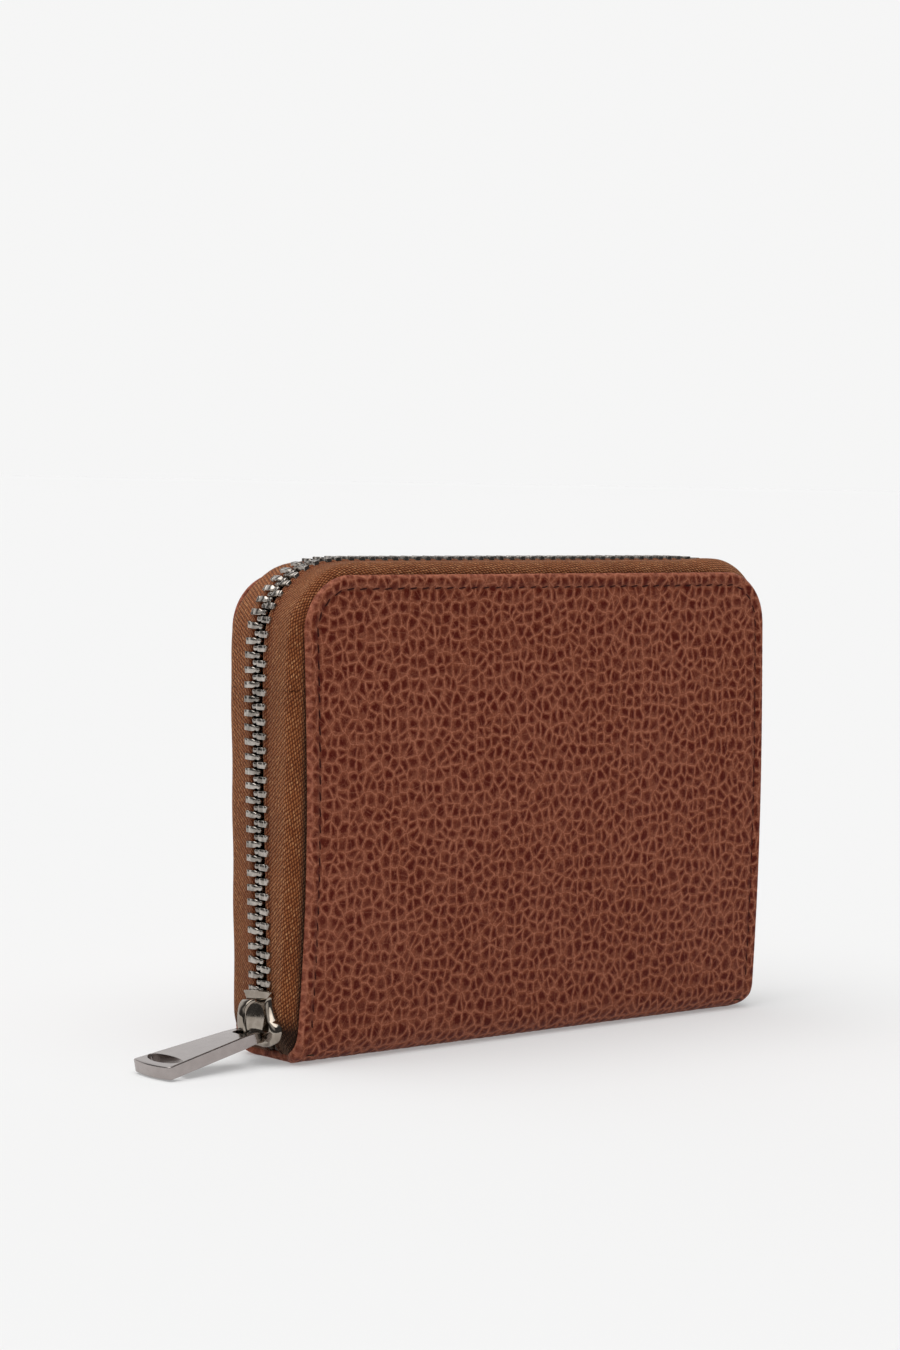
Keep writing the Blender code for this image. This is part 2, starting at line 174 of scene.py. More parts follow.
def rounded_ring(half_a, half_b, radius, steps=3):
    """A rounded rectangle about the origin, as (a, b) points."""
    radius = min(radius, half_a * 0.98, half_b * 0.98)
    points = []
    for quarter, (sa, sb) in enumerate(((1, 1), (-1, 1), (-1, -1), (1, -1))):
        for step in range(steps + 1):
            angle = (quarter + step / steps) * PI / 2
            points.append((sa * (half_a - radius) + radius * np.cos(angle),
                           sb * (half_b - radius) + radius * np.sin(angle)))
    return np.array(points)


def strip(a, b):
    """Quads between two rows of vertex numbers."""
    a, b = np.asarray(a), np.asarray(b)
    return np.stack([a[:-1], a[1:], b[1:], b[:-1]], -1).tolist()


def grid_faces(rows, columns):
    """Quads of a grid whose vertices are numbered row by row."""
    index = np.arange(rows * columns).reshape(rows, columns)
    return [face for low, high in zip(index, index[1:]) for face in strip(low, high)]


def two_sided(rows, columns):
    """Faces of two equal grids, back to back, and the closed loop of the first one's border."""
    faces = grid_faces(rows, columns)
    faces += [[rows * columns + i for i in face[::-1]] for face in faces]
    index = np.arange(rows * columns).reshape(rows, columns)
    border = np.concatenate([index[0], index[1:, -1], index[-1, -2::-1], index[-2:0:-1, 0]])
    return faces, np.append(border, border[0])


def loft(rings):
    """Vertices and faces of a skin through rings of equal length, capped at both ends."""
    count = len(rings[0])
    verts = np.concatenate([np.asarray(ring, float) for ring in rings])
    faces = []
    for first in range(0, len(verts) - count, count):
        loop = np.append(np.arange(first, first + count), first)
        faces += strip(loop, loop + count)
    faces.append(list(range(count))[::-1])
    faces.append(list(range(len(verts) - count, len(verts))))
    return verts, faces


def merged(parts):
    """Several (verts, faces) as one."""
    verts, faces, first = [], [], 0
    for points, polygons in parts:
        verts.append(points)
        faces += [[first + i for i in polygon] for polygon in polygons]
        first += len(points)
    return np.concatenate(verts), faces


def tube(line, radius, around):
    """A round tube along a line."""
    along = directions(line)
    side_axis = np.cross(along, (1.0, 0.13, 0.07))
    side_axis /= np.linalg.norm(side_axis, axis=1)[:, None]
    up = np.cross(along, side_axis)
    angle = np.linspace(0, 2 * PI, around, endpoint=False)[None, :, None]
    rings = line[:, None] + radius * (np.cos(angle) * side_axis[:, None] + np.sin(angle) * up[:, None])
    return loft(list(rings))


def capsule(length, radius, rings=7, around=8):
    """A stitch along X, a little flattened, about the origin."""
    angle = np.linspace(0, 2 * PI, around, endpoint=False)
    loops = []
    for u in np.linspace(-1, 1, rings):
        width = radius * np.sqrt(max(1 - abs(u) ** 3.0, 0.03))
        loops.append(xyz(u * length / 2, width * np.cos(angle), 0.8 * width * np.sin(angle)))
    return loft(loops)


def placed(points, origin, x_axis, y_axis):
    """Points moved to an origin, with their X and Y along the given directions."""
    x_axis = Vector(x_axis).normalized()
    z_axis = x_axis.cross(Vector(y_axis)).normalized()
    y_axis = z_axis.cross(x_axis)
    return points @ np.array([x_axis, y_axis, z_axis]) + np.asarray(origin, float)


# ---------------------------------------------------------------- objects

def make_mesh(name, verts, faces, material):
    """A smooth mesh object from points in millimetres, with its normals outwards."""
    mesh = bpy.data.meshes.new(name)
    mesh.from_pydata((np.asarray(verts, float) * MM).tolist(), [], faces)
    bm = bmesh.new()
    bm.from_mesh(mesh)
    bmesh.ops.recalc_face_normals(bm, faces=bm.faces)
    bm.to_mesh(mesh)
    bm.free()
    mesh.shade_smooth()
    mesh.materials.append(material)
    obj = bpy.data.objects.new(name, mesh)
    bpy.context.scene.collection.objects.link(obj)
    return obj


def store(obj, name, values):
    """Stores one number or one vector for each vertex."""
    values = np.asarray(values, np.float32)
    kind, field = ("FLOAT_VECTOR", "vector") if values.ndim == 2 else ("FLOAT", "value")
    obj.data.attributes.new(name, kind, "POINT").data.foreach_set(field, values.ravel())


def dress(obj, node=None, body=None, sharp=None):
    """Hides the CAD node that a piece stands for and hangs the piece on the body that it rides. Edges that
    turn by more than sharp degrees are shaded as corners."""
    if sharp is not None:
        obj.data.set_sharp_from_angle(angle=np.radians(sharp))
    if node is not None:
        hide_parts(node)
    if body is not None:
        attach(obj, body)
    return obj


def apply_modifiers(obj):
    """Replaces the object's mesh by its evaluated one."""
    graph = bpy.context.evaluated_depsgraph_get()
    mesh = bpy.data.meshes.new_from_object(obj.evaluated_get(graph), depsgraph=graph)
    obj.modifiers.clear()
    obj.data = mesh


# ---------------------------------------------------------------- node helpers

class Nodes:
    """Short calls for building a node tree, in a material or in geometry nodes."""

    def __init__(self, tree):
        self.tree = tree

    def put(self, value, socket):
        if isinstance(value, bpy.types.NodeSocket):
            self.tree.links.new(value, socket)
        elif value is not None:
            socket.default_value = value

    def math(self, operation, a, b, clamp=False):
        node = self.tree.nodes.new("ShaderNodeMath")
        node.operation = operation
        node.use_clamp = clamp
        self.put(a, node.inputs[0])
        self.put(b, node.inputs[1])
        return node.outputs[0]

    def vector(self, operation, a, b=None):
        node = self.tree.nodes.new("ShaderNodeVectorMath")
        node.operation = operation
        self.put(a, node.inputs[0])
        self.put(b, node.inputs["Scale"] if operation == "SCALE" else node.inputs[1])
        return node.outputs["Value" if operation == "LENGTH" else "Vector"]

    def noise(self, place, scale, detail=2.0, roughness=0.5, colour=False):
        node = self.tree.nodes.new("ShaderNodeTexNoise")
        self.put(place, node.inputs["Vector"])
        node.inputs["Scale"].default_value = scale
        node.inputs["Detail"].default_value = detail
        node.inputs["Roughness"].default_value = roughness
        return node.outputs["Color" if colour else "Fac"]

    def voronoi(self, place, scale, feature, randomness, output="Distance"):
        node = self.tree.nodes.new("ShaderNodeTexVoronoi")
        node.feature = feature
        node.voronoi_dimensions = "2D"
        self.put(place, node.inputs["Vector"])
        node.inputs["Scale"].default_value = scale
        node.inputs["Randomness"].default_value = randomness
        return node.outputs[output]

    def spread(self, value, low, high, to_low=0.0, to_high=1.0):
        """Maps low..high to to_low..to_high, smoothly and clamped."""
        node = self.tree.nodes.new("ShaderNodeMapRange")
        node.interpolation_type = "SMOOTHSTEP"
        for item, socket in zip((value, low, high, to_low, to_high), node.inputs):
            self.put(item, socket)
        return node.outputs[0]

    def mix(self, factor, a, b):
        node = self.tree.nodes.new("ShaderNodeMix")
        node.data_type = "RGBA"
        self.put(factor, node.inputs["Factor"])
        self.put(a, node.inputs[6])
        self.put(b, node.inputs[7])
        return node.outputs[2]

    def attribute(self, name, output="Vector"):
        node = self.tree.nodes.new("ShaderNodeAttribute")
        node.attribute_name = name
        return node.outputs[output]

    def split(self, vector):
        node = self.tree.nodes.new("ShaderNodeSeparateXYZ")
        self.put(vector, node.inputs[0])
        return node.outputs

    def object_place(self):
        """The place on the object, in millimetres."""
        place = self.tree.nodes.new("ShaderNodeTexCoord").outputs["Object"]
        return self.vector("SCALE", place, 1 / MM)


def colour(red, green, blue):
    """An sRGB colour, 0 to 255, as linear RGBA."""
    values = np.array((red, green, blue)) / 255
    linear = np.where(values <= 0.04045, values / 12.92, ((values + 0.055) / 1.055) ** 2.4)
    return (*linear.tolist(), 1.0)


def new_material(name, roughness=0.5, metallic=0.0, specular=0.5):
    material = bpy.data.materials.new(name)
    material.use_nodes = True
    shader = material.node_tree.nodes["Principled BSDF"]
    shader.inputs["Roughness"].default_value = roughness
    shader.inputs["Metallic"].default_value = metallic
    shader.inputs["Specular IOR Level"].default_value = specular
    return material, shader, Nodes(material.node_tree)


def add_bump(nodes, shader, height, distance_mm, strength):
    bump = nodes.tree.nodes.new("ShaderNodeBump")
    bump.inputs["Strength"].default_value = strength
    bump.inputs["Distance"].default_value = distance_mm * MM
    nodes.put(height, bump.inputs["Height"])
    nodes.put(bump.outputs["Normal"], shader.inputs["Normal"])


# ---------------------------------------------------------------- materials

def pebbles(nodes, place):
    """Pebbled grain at a place in millimetres: its height, the distance to the nearest valley, the
    distance to the nearest of some finer creases, and the offset from the middle of the pebble."""
    place = nodes.vector("MULTIPLY", place, (1.0, 1 / PEBBLE_STRETCH, 1.0))
    warp = nodes.vector("SUBTRACT", nodes.noise(place, 0.35, 1.0, colour=True), (0.5, 0.5, 0.5))
    bent = nodes.vector("ADD", place, nodes.vector("SCALE", warp, 1.6))
    edge = nodes.voronoi(bent, 1 / PEBBLE, "DISTANCE_TO_EDGE", 0.85)
    middle = nodes.voronoi(bent, 1 / PEBBLE, "F1", 0.85, "Position")
    shifted = nodes.vector("ADD", place, (7.3, 2.1, 0.0))
    fine = nodes.voronoi(shifted, 1 / 3.6, "DISTANCE_TO_EDGE", 1.0)
    crease = nodes.math("MULTIPLY", nodes.spread(fine, 0.0, 0.05, 1.0, 0.0), 0.2)
    height = nodes.math("SUBTRACT", nodes.spread(edge, 0.0, 0.30), crease)
    return height, edge, fine, nodes.vector("SUBTRACT", bent, middle)


def leather_colour(nodes, place, edge, fine, offset, speck):
    """Dark pebbles, each darker towards its top as painted shade, paler valleys, paler still along the edge
    where it is rubbed and carries a painted highlight, and painted shade in the stitch groove.
    """
    patch = nodes.noise(place, 0.05, 3.0)
    vary = nodes.noise(place, 0.30, 2.0)
    blotch = nodes.noise(place, 1.2, 2.0, 0.6)
    base = nodes.mix(nodes.spread(patch, 0.35, 0.65), colour(134, 72, 50), colour(140, 78, 57))
    base = nodes.mix(nodes.spread(blotch, 0.4, 0.75), base, colour(156, 94, 70))
    # Each pebble's dark spot is moved towards its top: painted shade, as of light from below. The dark pebbles
    # and pale valleys themselves are the leather's own colour.
    reach = nodes.vector("LENGTH", nodes.vector("SUBTRACT", offset, (0.0, 0.18, 0.0)))
    reach = nodes.math("ADD", reach, nodes.spread(blotch, 0.25, 0.75, -0.25, 0.30))
    dark = nodes.spread(reach, 0.55, 1.35, 1.0, 0.30)
    dark = nodes.math("MULTIPLY", dark, nodes.spread(edge, 0.01, 0.30))
    dark = nodes.math("MULTIPLY", dark, nodes.spread(vary, 0.25, 0.60, 0.62, 1.0))
    skin = nodes.mix(dark, base, nodes.mix(patch, colour(78, 12, 2), colour(86, 22, 8)))
    width = nodes.spread(vary, 0.3, 0.7, 0.045, 0.095)
    line = nodes.math("SUBTRACT", 1.0, nodes.math("DIVIDE", edge, width), clamp=True)
    line = nodes.math("MAXIMUM", line, nodes.spread(fine, 0.0, 0.045, 0.30, 0.0))
    line = nodes.math("MULTIPLY", line, nodes.spread(blotch, 0.25, 0.7, 0.35, 0.95))
    skin = nodes.mix(line, skin, colour(182, 116, 90))
    skin = nodes.mix(nodes.spread(speck, 0.42, 0.72, 0.0, 0.45), skin, colour(64, 18, 8))
    skin = nodes.mix(nodes.spread(speck, 0.30, 0.45, 0.22, 0.0), skin, colour(190, 124, 96))
    # Paler along the edge: partly rubbed wear, partly a painted highlight of the sheen on the rounded edge.
    rub_and_highlight = nodes.math("MULTIPLY", nodes.attribute("rim", "Fac"), nodes.spread(blotch, 0.25, 0.7, 0.05, 0.45))
    skin = nodes.mix(rub_and_highlight, skin, colour(176, 112, 90))
    # Painted shade along the stitch groove.
    groove = nodes.math("MULTIPLY", nodes.attribute("groove", "Fac"), 0.30)
    return nodes.mix(groove, skin, colour(70, 28, 22))


def leather_material():
    material, shader, nodes = new_material("pebbled_leather", specular=0.08)
    place = nodes.attribute("sheet")
    height, edge, fine, offset = pebbles(nodes, place)
    speck = nodes.noise(place, 2.6, 3.0, 0.7)
    nodes.put(leather_colour(nodes, place, edge, fine, offset, speck), shader.inputs["Base Color"])
    polish = nodes.math("ADD", height, nodes.math("MULTIPLY", speck, 0.4))
    nodes.put(nodes.spread(polish, 0.1, 1.1, 0.60, 0.46), shader.inputs["Roughness"])
    micro = nodes.math("MULTIPLY", nodes.noise(place, 2.2, 4.0, 0.75), 0.35)
    add_bump(nodes, shader, nodes.math("ADD", nodes.math("MULTIPLY", height, 0.6), micro), 0.16, 0.6)
    return material


def weave(nodes, place, across, along, slant):
    """Slanted threads of a twill: (height, random tone), from a sheared lattice."""
    s, w, _ = nodes.split(place)
    row = nodes.math("DIVIDE", nodes.math("SUBTRACT", w, nodes.math("MULTIPLY", s, slant)), across)
    column = nodes.math("ADD", nodes.math("DIVIDE", s, along), nodes.math("MULTIPLY", row, 0.5))
    join = nodes.tree.nodes.new("ShaderNodeCombineXYZ")
    nodes.put(column, join.inputs[0])
    nodes.put(row, join.inputs[1])
    jitter = nodes.vector("SUBTRACT", nodes.noise(place, 1.4, 1.0, colour=True), (0.5, 0.5, 0.5))
    lattice = nodes.vector("ADD", join.outputs[0], nodes.vector("SCALE", jitter, 0.5))
    lattice = nodes.vector("MULTIPLY", lattice, (1.0, 1.0, 0.0))
    bead = nodes.voronoi(lattice, 1.0, "F1", 0.15)
    tone = nodes.voronoi(lattice, 1.0, "F1", 0.15, "Color")
    return nodes.spread(bead, 0.10, 0.55, 1.0, 0.0), tone


def tape_material():
    material, shader, nodes = new_material("zip_tape_twill", roughness=0.85, specular=0.15)
    place = nodes.attribute("sheet")
    height, tone = weave(nodes, place, 0.43, 0.72, 0.14)
    patch = nodes.spread(nodes.noise(place, 0.12, 2.0), 0.3, 0.7)
    gap = nodes.mix(patch, colour(80, 34, 12), colour(92, 42, 18))
    thread = nodes.mix(patch, colour(156, 90, 48), colour(172, 104, 58))
    # Pale beads: painted highlights on some of the twill's threads.
    pale = nodes.spread(nodes.noise(tone, 3.0, 0.0), 0.4, 0.8, 0.0, 0.8)
    cloth = nodes.mix(height, gap, nodes.mix(pale, thread, colour(212, 150, 100)))
    worn = nodes.spread(nodes.noise(place, 3.5, 2.0), 0.45, 0.75, 0.0, 0.35)
    cloth = nodes.mix(worn, cloth, colour(60, 26, 12))
    shade = nodes.math("MULTIPLY", nodes.attribute("groove", "Fac"), 0.92)
    cloth = nodes.mix(shade, cloth, colour(14, 5, 3))
    inner = nodes.math("MULTIPLY", nodes.attribute("rim", "Fac"), 0.35)
    nodes.put(nodes.mix(inner, cloth, colour(92, 34, 18)), shader.inputs["Base Color"])
    shader.inputs["Sheen Weight"].default_value = 0.30
    shader.inputs["Sheen Roughness"].default_value = 0.45
    shader.inputs["Sheen Tint"].default_value = (1.0, 0.62, 0.40, 1)
    add_bump(nodes, shader, height, 0.16, 1.0)
    return material


def lining_material():
    material, shader, nodes = new_material("lining_cloth", roughness=0.8, specular=0.25)
    place = nodes.attribute("sheet")
    height, _ = weave(nodes, place, 0.30, 0.34, 0.3)
    cloth = nodes.mix(height, colour(58, 30, 20), colour(112, 66, 44))
    patch = nodes.math("MULTIPLY", nodes.noise(place, 0.1, 3.0), 0.3)
    nodes.put(nodes.mix(patch, cloth, colour(84, 46, 30)), shader.inputs["Base Color"])
    add_bump(nodes, shader, height, 0.05, 0.7)
    return material


def smooth_leather_material():
    """Thin, finely grained leather of the card slots, gussets and coin pocket."""
    material, shader, nodes = new_material("inner_leather", specular=0.4)
    place = nodes.attribute("sheet")
    cell = nodes.voronoi(place, 1 / 0.9, "DISTANCE_TO_EDGE", 1.0)
    dome = nodes.spread(cell, 0.0, 0.3)
    patch = nodes.noise(place, 0.08, 3.0)
    skin = nodes.mix(dome, colour(150, 92, 62), colour(116, 60, 36))
    stain = nodes.math("MULTIPLY", nodes.spread(patch, 0.3, 0.7), 0.4)
    nodes.put(nodes.mix(stain, skin, colour(96, 46, 28)), shader.inputs["Base Color"])
    nodes.put(nodes.spread(patch, 0.2, 0.8, 0.48, 0.62), shader.inputs["Roughness"])
    add_bump(nodes, shader, nodes.math("ADD", dome, nodes.noise(place, 3.0, 3.0)), 0.05, 0.6)
    return material


def thread_material():
    material, shader, nodes = new_material("stitch_thread", roughness=0.7, specular=0.1)
    twist = nodes.noise(nodes.object_place(), 5.0, 2.0)
    nodes.put(nodes.mix(twist, colour(30, 9, 8), colour(66, 26, 22)), shader.inputs["Base Color"])
    add_bump(nodes, shader, twist, 0.05, 0.8)
    return material


def metal_material(name, dark, light, rough_low, rough_high, scratch):
    """Metal with smudges and fine scratches; the scratches run along the object's X."""
    material, shader, nodes = new_material(name, metallic=1.0)
    place = nodes.object_place()
    smudge = nodes.noise(place, 0.5, 3.0, 0.6)
    lines = nodes.noise(nodes.vector("MULTIPLY", place, (0.4, 14.0, 14.0)), 1.0, 3.0, 0.6)
    tint = nodes.mix(nodes.spread(smudge, 0.3, 0.7), colour(*dark), colour(*light))
    nodes.put(tint, shader.inputs["Base Color"])
    rough = nodes.math("ADD", nodes.math("MULTIPLY", smudge, 0.6), nodes.math("MULTIPLY", lines, 0.4))
    nodes.put(nodes.spread(rough, 0.3, 0.7, rough_low, rough_high), shader.inputs["Roughness"])
    add_bump(nodes, shader, lines, scratch, 0.5)
    return material


def plain_material(name, dark, light, scale, roughness):
    """Board and nylon: a mottled colour with a light tooth."""
    material, shader, nodes = new_material(name, roughness=roughness, specular=0.3)
    fleck = nodes.noise(nodes.object_place(), scale, 4.0, 0.7)
    tint = nodes.mix(nodes.spread(fleck, 0.3, 0.7), colour(*dark), colour(*light))
    nodes.put(tint, shader.inputs["Base Color"])
    add_bump(nodes, shader, fleck, 0.04, 0.6)
    return material


MATERIALS = {
    "leather": leather_material(),
    "inner": smooth_leather_material(),
    "lining": lining_material(),
    "tape": tape_material(),
    "thread": thread_material(),
    "teeth": metal_material("gunmetal_nickel", (126, 119, 112), (190, 182, 174), 0.07, 0.24, 0.006),
    # The stop clips sit in the dark recess at the slider's foot; their dark colour is painted shade.
    "stops": metal_material("brass_darkened_as_shade", (52, 44, 38), (84, 74, 64), 0.35, 0.5, 0.01),
    "slider": metal_material("polished_nickel", (142, 132, 121), (164, 154, 143), 0.03, 0.09, 0.0005),
    "pull": metal_material("satin_nickel", (162, 154, 151), (171, 163, 160), 0.13, 0.19, 0.001),
    "board": plain_material("stiffening_board", (150, 130, 100), (176, 156, 124), 1.5, 0.85),
    "coil": plain_material("nylon_coil", (92, 50, 24), (118, 68, 36), 2.0, 0.45),
}


# ---------------------------------------------------------------- the cover's shape

def belly(z):
    """How far up the swell of a cover's edges is felt, 0 to 1."""
    return np.sin(PI * unit(np.asarray(z, float) / BELLY_SPAN) ** 0.9)


def face_y(side, z):
    """Distance of the leather's outer face from the wallet's middle, at a height."""
    low, high = DEPTHS[side]
    rise = unit((z - SPINE_ROUND) / (TOP - SPINE_ROUND))
    return low + (high - low) * rise + BELLY[side] * (belly(z) - belly(SPINE_ROUND)) * (rise > 0)


def swell(x, z):
    """How much of the cover's bulge is felt at a place: all in the middle, none at the edges."""
    return (1 - (x / HALF) ** 2) * np.sin(PI * unit(z / TOP)) ** 0.8


def pinch(side, x, z):
    """The cover's left edge is drawn in a little at mid height."""
    return x + PINCH[side] * belly(z) * unit(-x / HALF) ** 4


def sag(side, points):
    """Lets a cover's upper corner by the slider hang a little, as the back one does."""
    points = np.array(points, float)
    high = unit((points[:, 2] - SAG_FROM_Z) / (TOP - SAG_FROM_Z)) ** 2
    points[:, 2] -= SAG[side] * high * unit(-(points[:, 0] + SAG_FROM_X) / (HALF - SAG_FROM_X))
    return points


def lean_share(depth):
    """How far a layer at a depth shares in the cover's lean, 0 to 1."""
    return unit((depth - 3.4) / 5.0)


def lean(side, points):
    """Moves a cover's inner layers from the CAD's upright planes to the leaning cover."""
    points = np.array(points, float)
    points[:, 1] += side * lean_share(np.abs(points[:, 1])) * (face_y(side, points[:, 2]) - CAD_FACE)
    return points


def profile(side, v):
    """The leather's run from under the spine up the cover: y, z and the outward normal's y and z."""
    low = DEPTHS[side][0]
    flat = low - SPINE_ROUND
    angle = np.clip((v - flat) / SPINE_ROUND, 0, PI / 2)
    rise = np.clip(v - flat - SPINE_ROUND * PI / 2, 0, None)
    z = SPINE_ROUND * (1 - np.cos(angle)) + rise
    y = np.minimum(v, flat) + SPINE_ROUND * np.sin(angle)
    y = y + np.where(rise > 0, face_y(side, z) - low, 0)
    return side * y, z, side * np.sin(angle), -np.cos(angle)


def half_width(x, z):
    """Half of the leather's width: its lower corners are rounded, the right ones more."""
    radius = np.where(x < 0, FOOT_ROUND[-1], FOOT_ROUND[1])
    rise = unit((radius - z) / radius)
    return HALF - radius * (1 - np.sqrt(1 - rise ** 2))


def edge_distance(x, z):
    """Distance to the cover's edge, from inside."""
    width = half_width(x, z)
    x = np.abs(x)
    distance = np.minimum(width - x, TOP - z)
    in_corner = (x > HALF - CORNER) & (z > TOP - CORNER)
    corner = CORNER - np.hypot(x - HALF + CORNER, z - TOP + CORNER)
    return np.where(in_corner, corner, distance)


def column_places():
    """x and top z of each column of the leather's grid, and the edge's outward direction there."""
    radius = CORNER - EDGE_ROUND
    corner = np.linspace(PI, PI / 2, CORNER_STEPS)
    middle = np.linspace(-HALF + CORNER, HALF - CORNER, GRID_STEPS)[1:-1]
    turned = np.concatenate([corner, np.full(len(middle), PI / 2), PI - corner[::-1]])
    x = np.concatenate([-HALF + CORNER + radius * np.cos(corner), middle,
                        HALF - CORNER + radius * np.cos(PI - corner[::-1])])
    return x, TOP - CORNER + radius * np.sin(turned), turned


def leather_surface(side):
    """The grid of one cover's leather. Returns its points, their normals and their places on the
    flat hide, the stitch groove and the distance to the edge there, and the top edge's directions."""
    x_top, z_top, turned = column_places()
    start = DEPTHS[side][0] + SPINE_ROUND * (PI / 2 - 2)
    v = np.linspace(0, 1, GRID_STEPS)[:, None] * (start + z_top)
    y, z, normal_y, normal_z = profile(side, v)
    x = x_top * (half_width(x_top, z) - EDGE_ROUND) / (HALF - EDGE_ROUND)
    distance = edge_distance(x, z)
    groove = np.exp(-((distance - STITCH_INSET) / 0.42) ** 2) * (z >= 4.0)
    lip = np.exp(-((distance - 1.5) / 0.6) ** 2)
    wobble = 0.10 * np.sin(x / 13.0 + 1.3 * side) * np.sin(z / 17.0 + 0.7)
    out = (BULGE * swell(x, z) + wobble) * unit(z / 20) - 0.20 * groove + 0.06 * lip
    core = xyz(x, y + out * normal_y, z + out * normal_z).reshape(-1, 3)
    core[:, 0] = pinch(side, core[:, 0], core[:, 2])
    normal = xyz(0.0, normal_y, normal_z).reshape(-1, 3)
    sheet = xyz(x + HIDE_APART * (side > 0), v, 0.0).reshape(-1, 3)
    return core, normal, sheet, groove.ravel(), distance.ravel(), turned


def turned_in(edge, outward, normal):
    """Rings that carry the leather round its edge and in behind it."""
    rings = [edge + outward * EDGE_ROUND * np.sin(angle) - normal * EDGE_ROUND * (1 - np.cos(angle))
             for angle in EDGE_ANGLES]
    depth = (SKIN + (LIP - SKIN) * unit(1 - edge[:, 2] / 7.0))[:, None]
    for past, deep in ((EDGE_ROUND, depth - 0.25), (EDGE_ROUND - 0.25, depth), (-2.6, depth)):
        rings.append(edge + outward * past - normal * deep)
    return rings


def shell_faces(index, border, ring_count):
    """Faces of the leather's grid, of the rings round its border, and of its flat back and foot."""
    rows = len(index)
    faces = grid_faces(*index.shape)
    loops = [border] + [index.size + k * len(border) + np.arange(len(border)) for k in range(ring_count)]
    for inner, outer in zip(loops, loops[1:]):
        faces += strip(inner, outer)
    last = loops[-1].tolist()
    left, across, right = last[:rows], last[rows:-rows], last[-rows:][::-1]
    faces += strip(left, right)
    faces.append([left[-1], *across, right[-1]])
    foot = [loop[-1] for loop in loops[1:]] + [loop[0] for loop in loops[:0:-1]]
    faces.append(index[0].tolist() + [int(i) for i in foot])
    return faces


def leather_shell(side):
    """One cover's leather and its half of the spine, with its edges turned in."""
    word = WORDS[side]
    core, normal, sheet, groove, distance, turned = leather_surface(side)
    index = np.arange(len(core)).reshape(GRID_STEPS, -1)
    border = np.concatenate([index[:, 0], index[-1, 1:-1], index[::-1, -1]])
    away = np.concatenate([np.full(GRID_STEPS, PI), turned[1:-1], np.zeros(GRID_STEPS)])
    outward = xyz(np.cos(away), 0.0, np.sin(away))
    rings = turned_in(core[border], outward, normal[border])
    faces = shell_faces(index, border, len(rings))
    verts = sag(side, np.concatenate([core] + rings))
    obj = make_mesh(word + "_leather_shell", verts, faces, MATERIALS["leather"])
    hem = [sheet[border] + outward[:, [0, 2, 1]] * run for run in HEM_RUNS]
    store(obj, "sheet", np.concatenate([sheet] + hem))
    fade = np.clip(distance / 2.2, 0.35, 1) * (1 - 0.7 * groove)
    hem_fades = [*(0.28 * np.cos(EDGE_ANGLES)), 0.0, 0.0, 0.0]
    push = np.concatenate([normal * fade[:, None]] + [normal[border] * share for share in hem_fades])
    store(obj, "push", push * GRAIN_DEPTH * MM)
    # rim: where the edge's rub and its painted highlight lie.
    store(obj, "rim", np.append(0.8 * unit(1.0 - distance), np.full(len(border) * len(rings), 0.9)))
    # groove: where painted shade lies along the stitch groove.
    store(obj, "groove", np.append(groove, np.zeros(len(border) * len(rings))))
    emboss_grain(obj)
    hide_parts(word + "_leather", *(("spine_leather",) if side < 0 else ()))
    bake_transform(obj)


def emboss_grain(obj):
    """Moves the leather's surface by the same pebbles that its material shows."""
    tree = bpy.data.node_groups.new("emboss_" + obj.name, "GeometryNodeTree")
    tree.interface.new_socket("Geometry", in_out="INPUT", socket_type="NodeSocketGeometry")
    tree.interface.new_socket("Geometry", in_out="OUTPUT", socket_type="NodeSocketGeometry")
    nodes = Nodes(tree)
    source = tree.nodes.new("NodeGroupInput")
    result = tree.nodes.new("NodeGroupOutput")
    move = tree.nodes.new("GeometryNodeSetPosition")
    read = {}
    for name in ("sheet", "push"):
        read[name] = tree.nodes.new("GeometryNodeInputNamedAttribute")
        read[name].data_type = "FLOAT_VECTOR"
        read[name].inputs["Name"].default_value = name
    height = pebbles(nodes, read["sheet"].outputs[0])[0]
    offset = nodes.vector("SCALE", read["push"].outputs[0], nodes.math("SUBTRACT", height, 0.7))
    nodes.put(offset, move.inputs["Offset"])
    nodes.put(source.outputs[0], move.inputs["Geometry"])
    nodes.put(move.outputs[0], result.inputs[0])
    modifier = obj.modifiers.new("emboss", "NODES")
    modifier.node_group = tree
    apply_modifiers(obj)


# ---------------------------------------------------------------- paths round a cover

CROWN = 2 * (HALF - CORNER)


def path_round(s, z_start, radius):
    """A path up a cover's left edge, over its top and down its right edge, at lengths s from its
    start: the middle that it turns about, as (x, z), and its outward direction."""
    s = np.asarray(s, float)
    straight = TOP - CORNER - z_start
    bend = PI / 2 * radius
    turns = unit((s - straight) / bend) + unit((s - straight - bend - CROWN) / bend)
    angle = PI - turns * PI / 2
    fall = np.clip(straight - s, 0, None) + np.clip(s - straight - 2 * bend - CROWN, 0, None)
    middle_x = np.clip(s - straight - bend, 0, CROWN) - CROWN / 2
    middle = np.stack([middle_x, TOP - CORNER - fall], -1)
    return middle, np.stack([np.cos(angle), np.sin(angle)], -1)


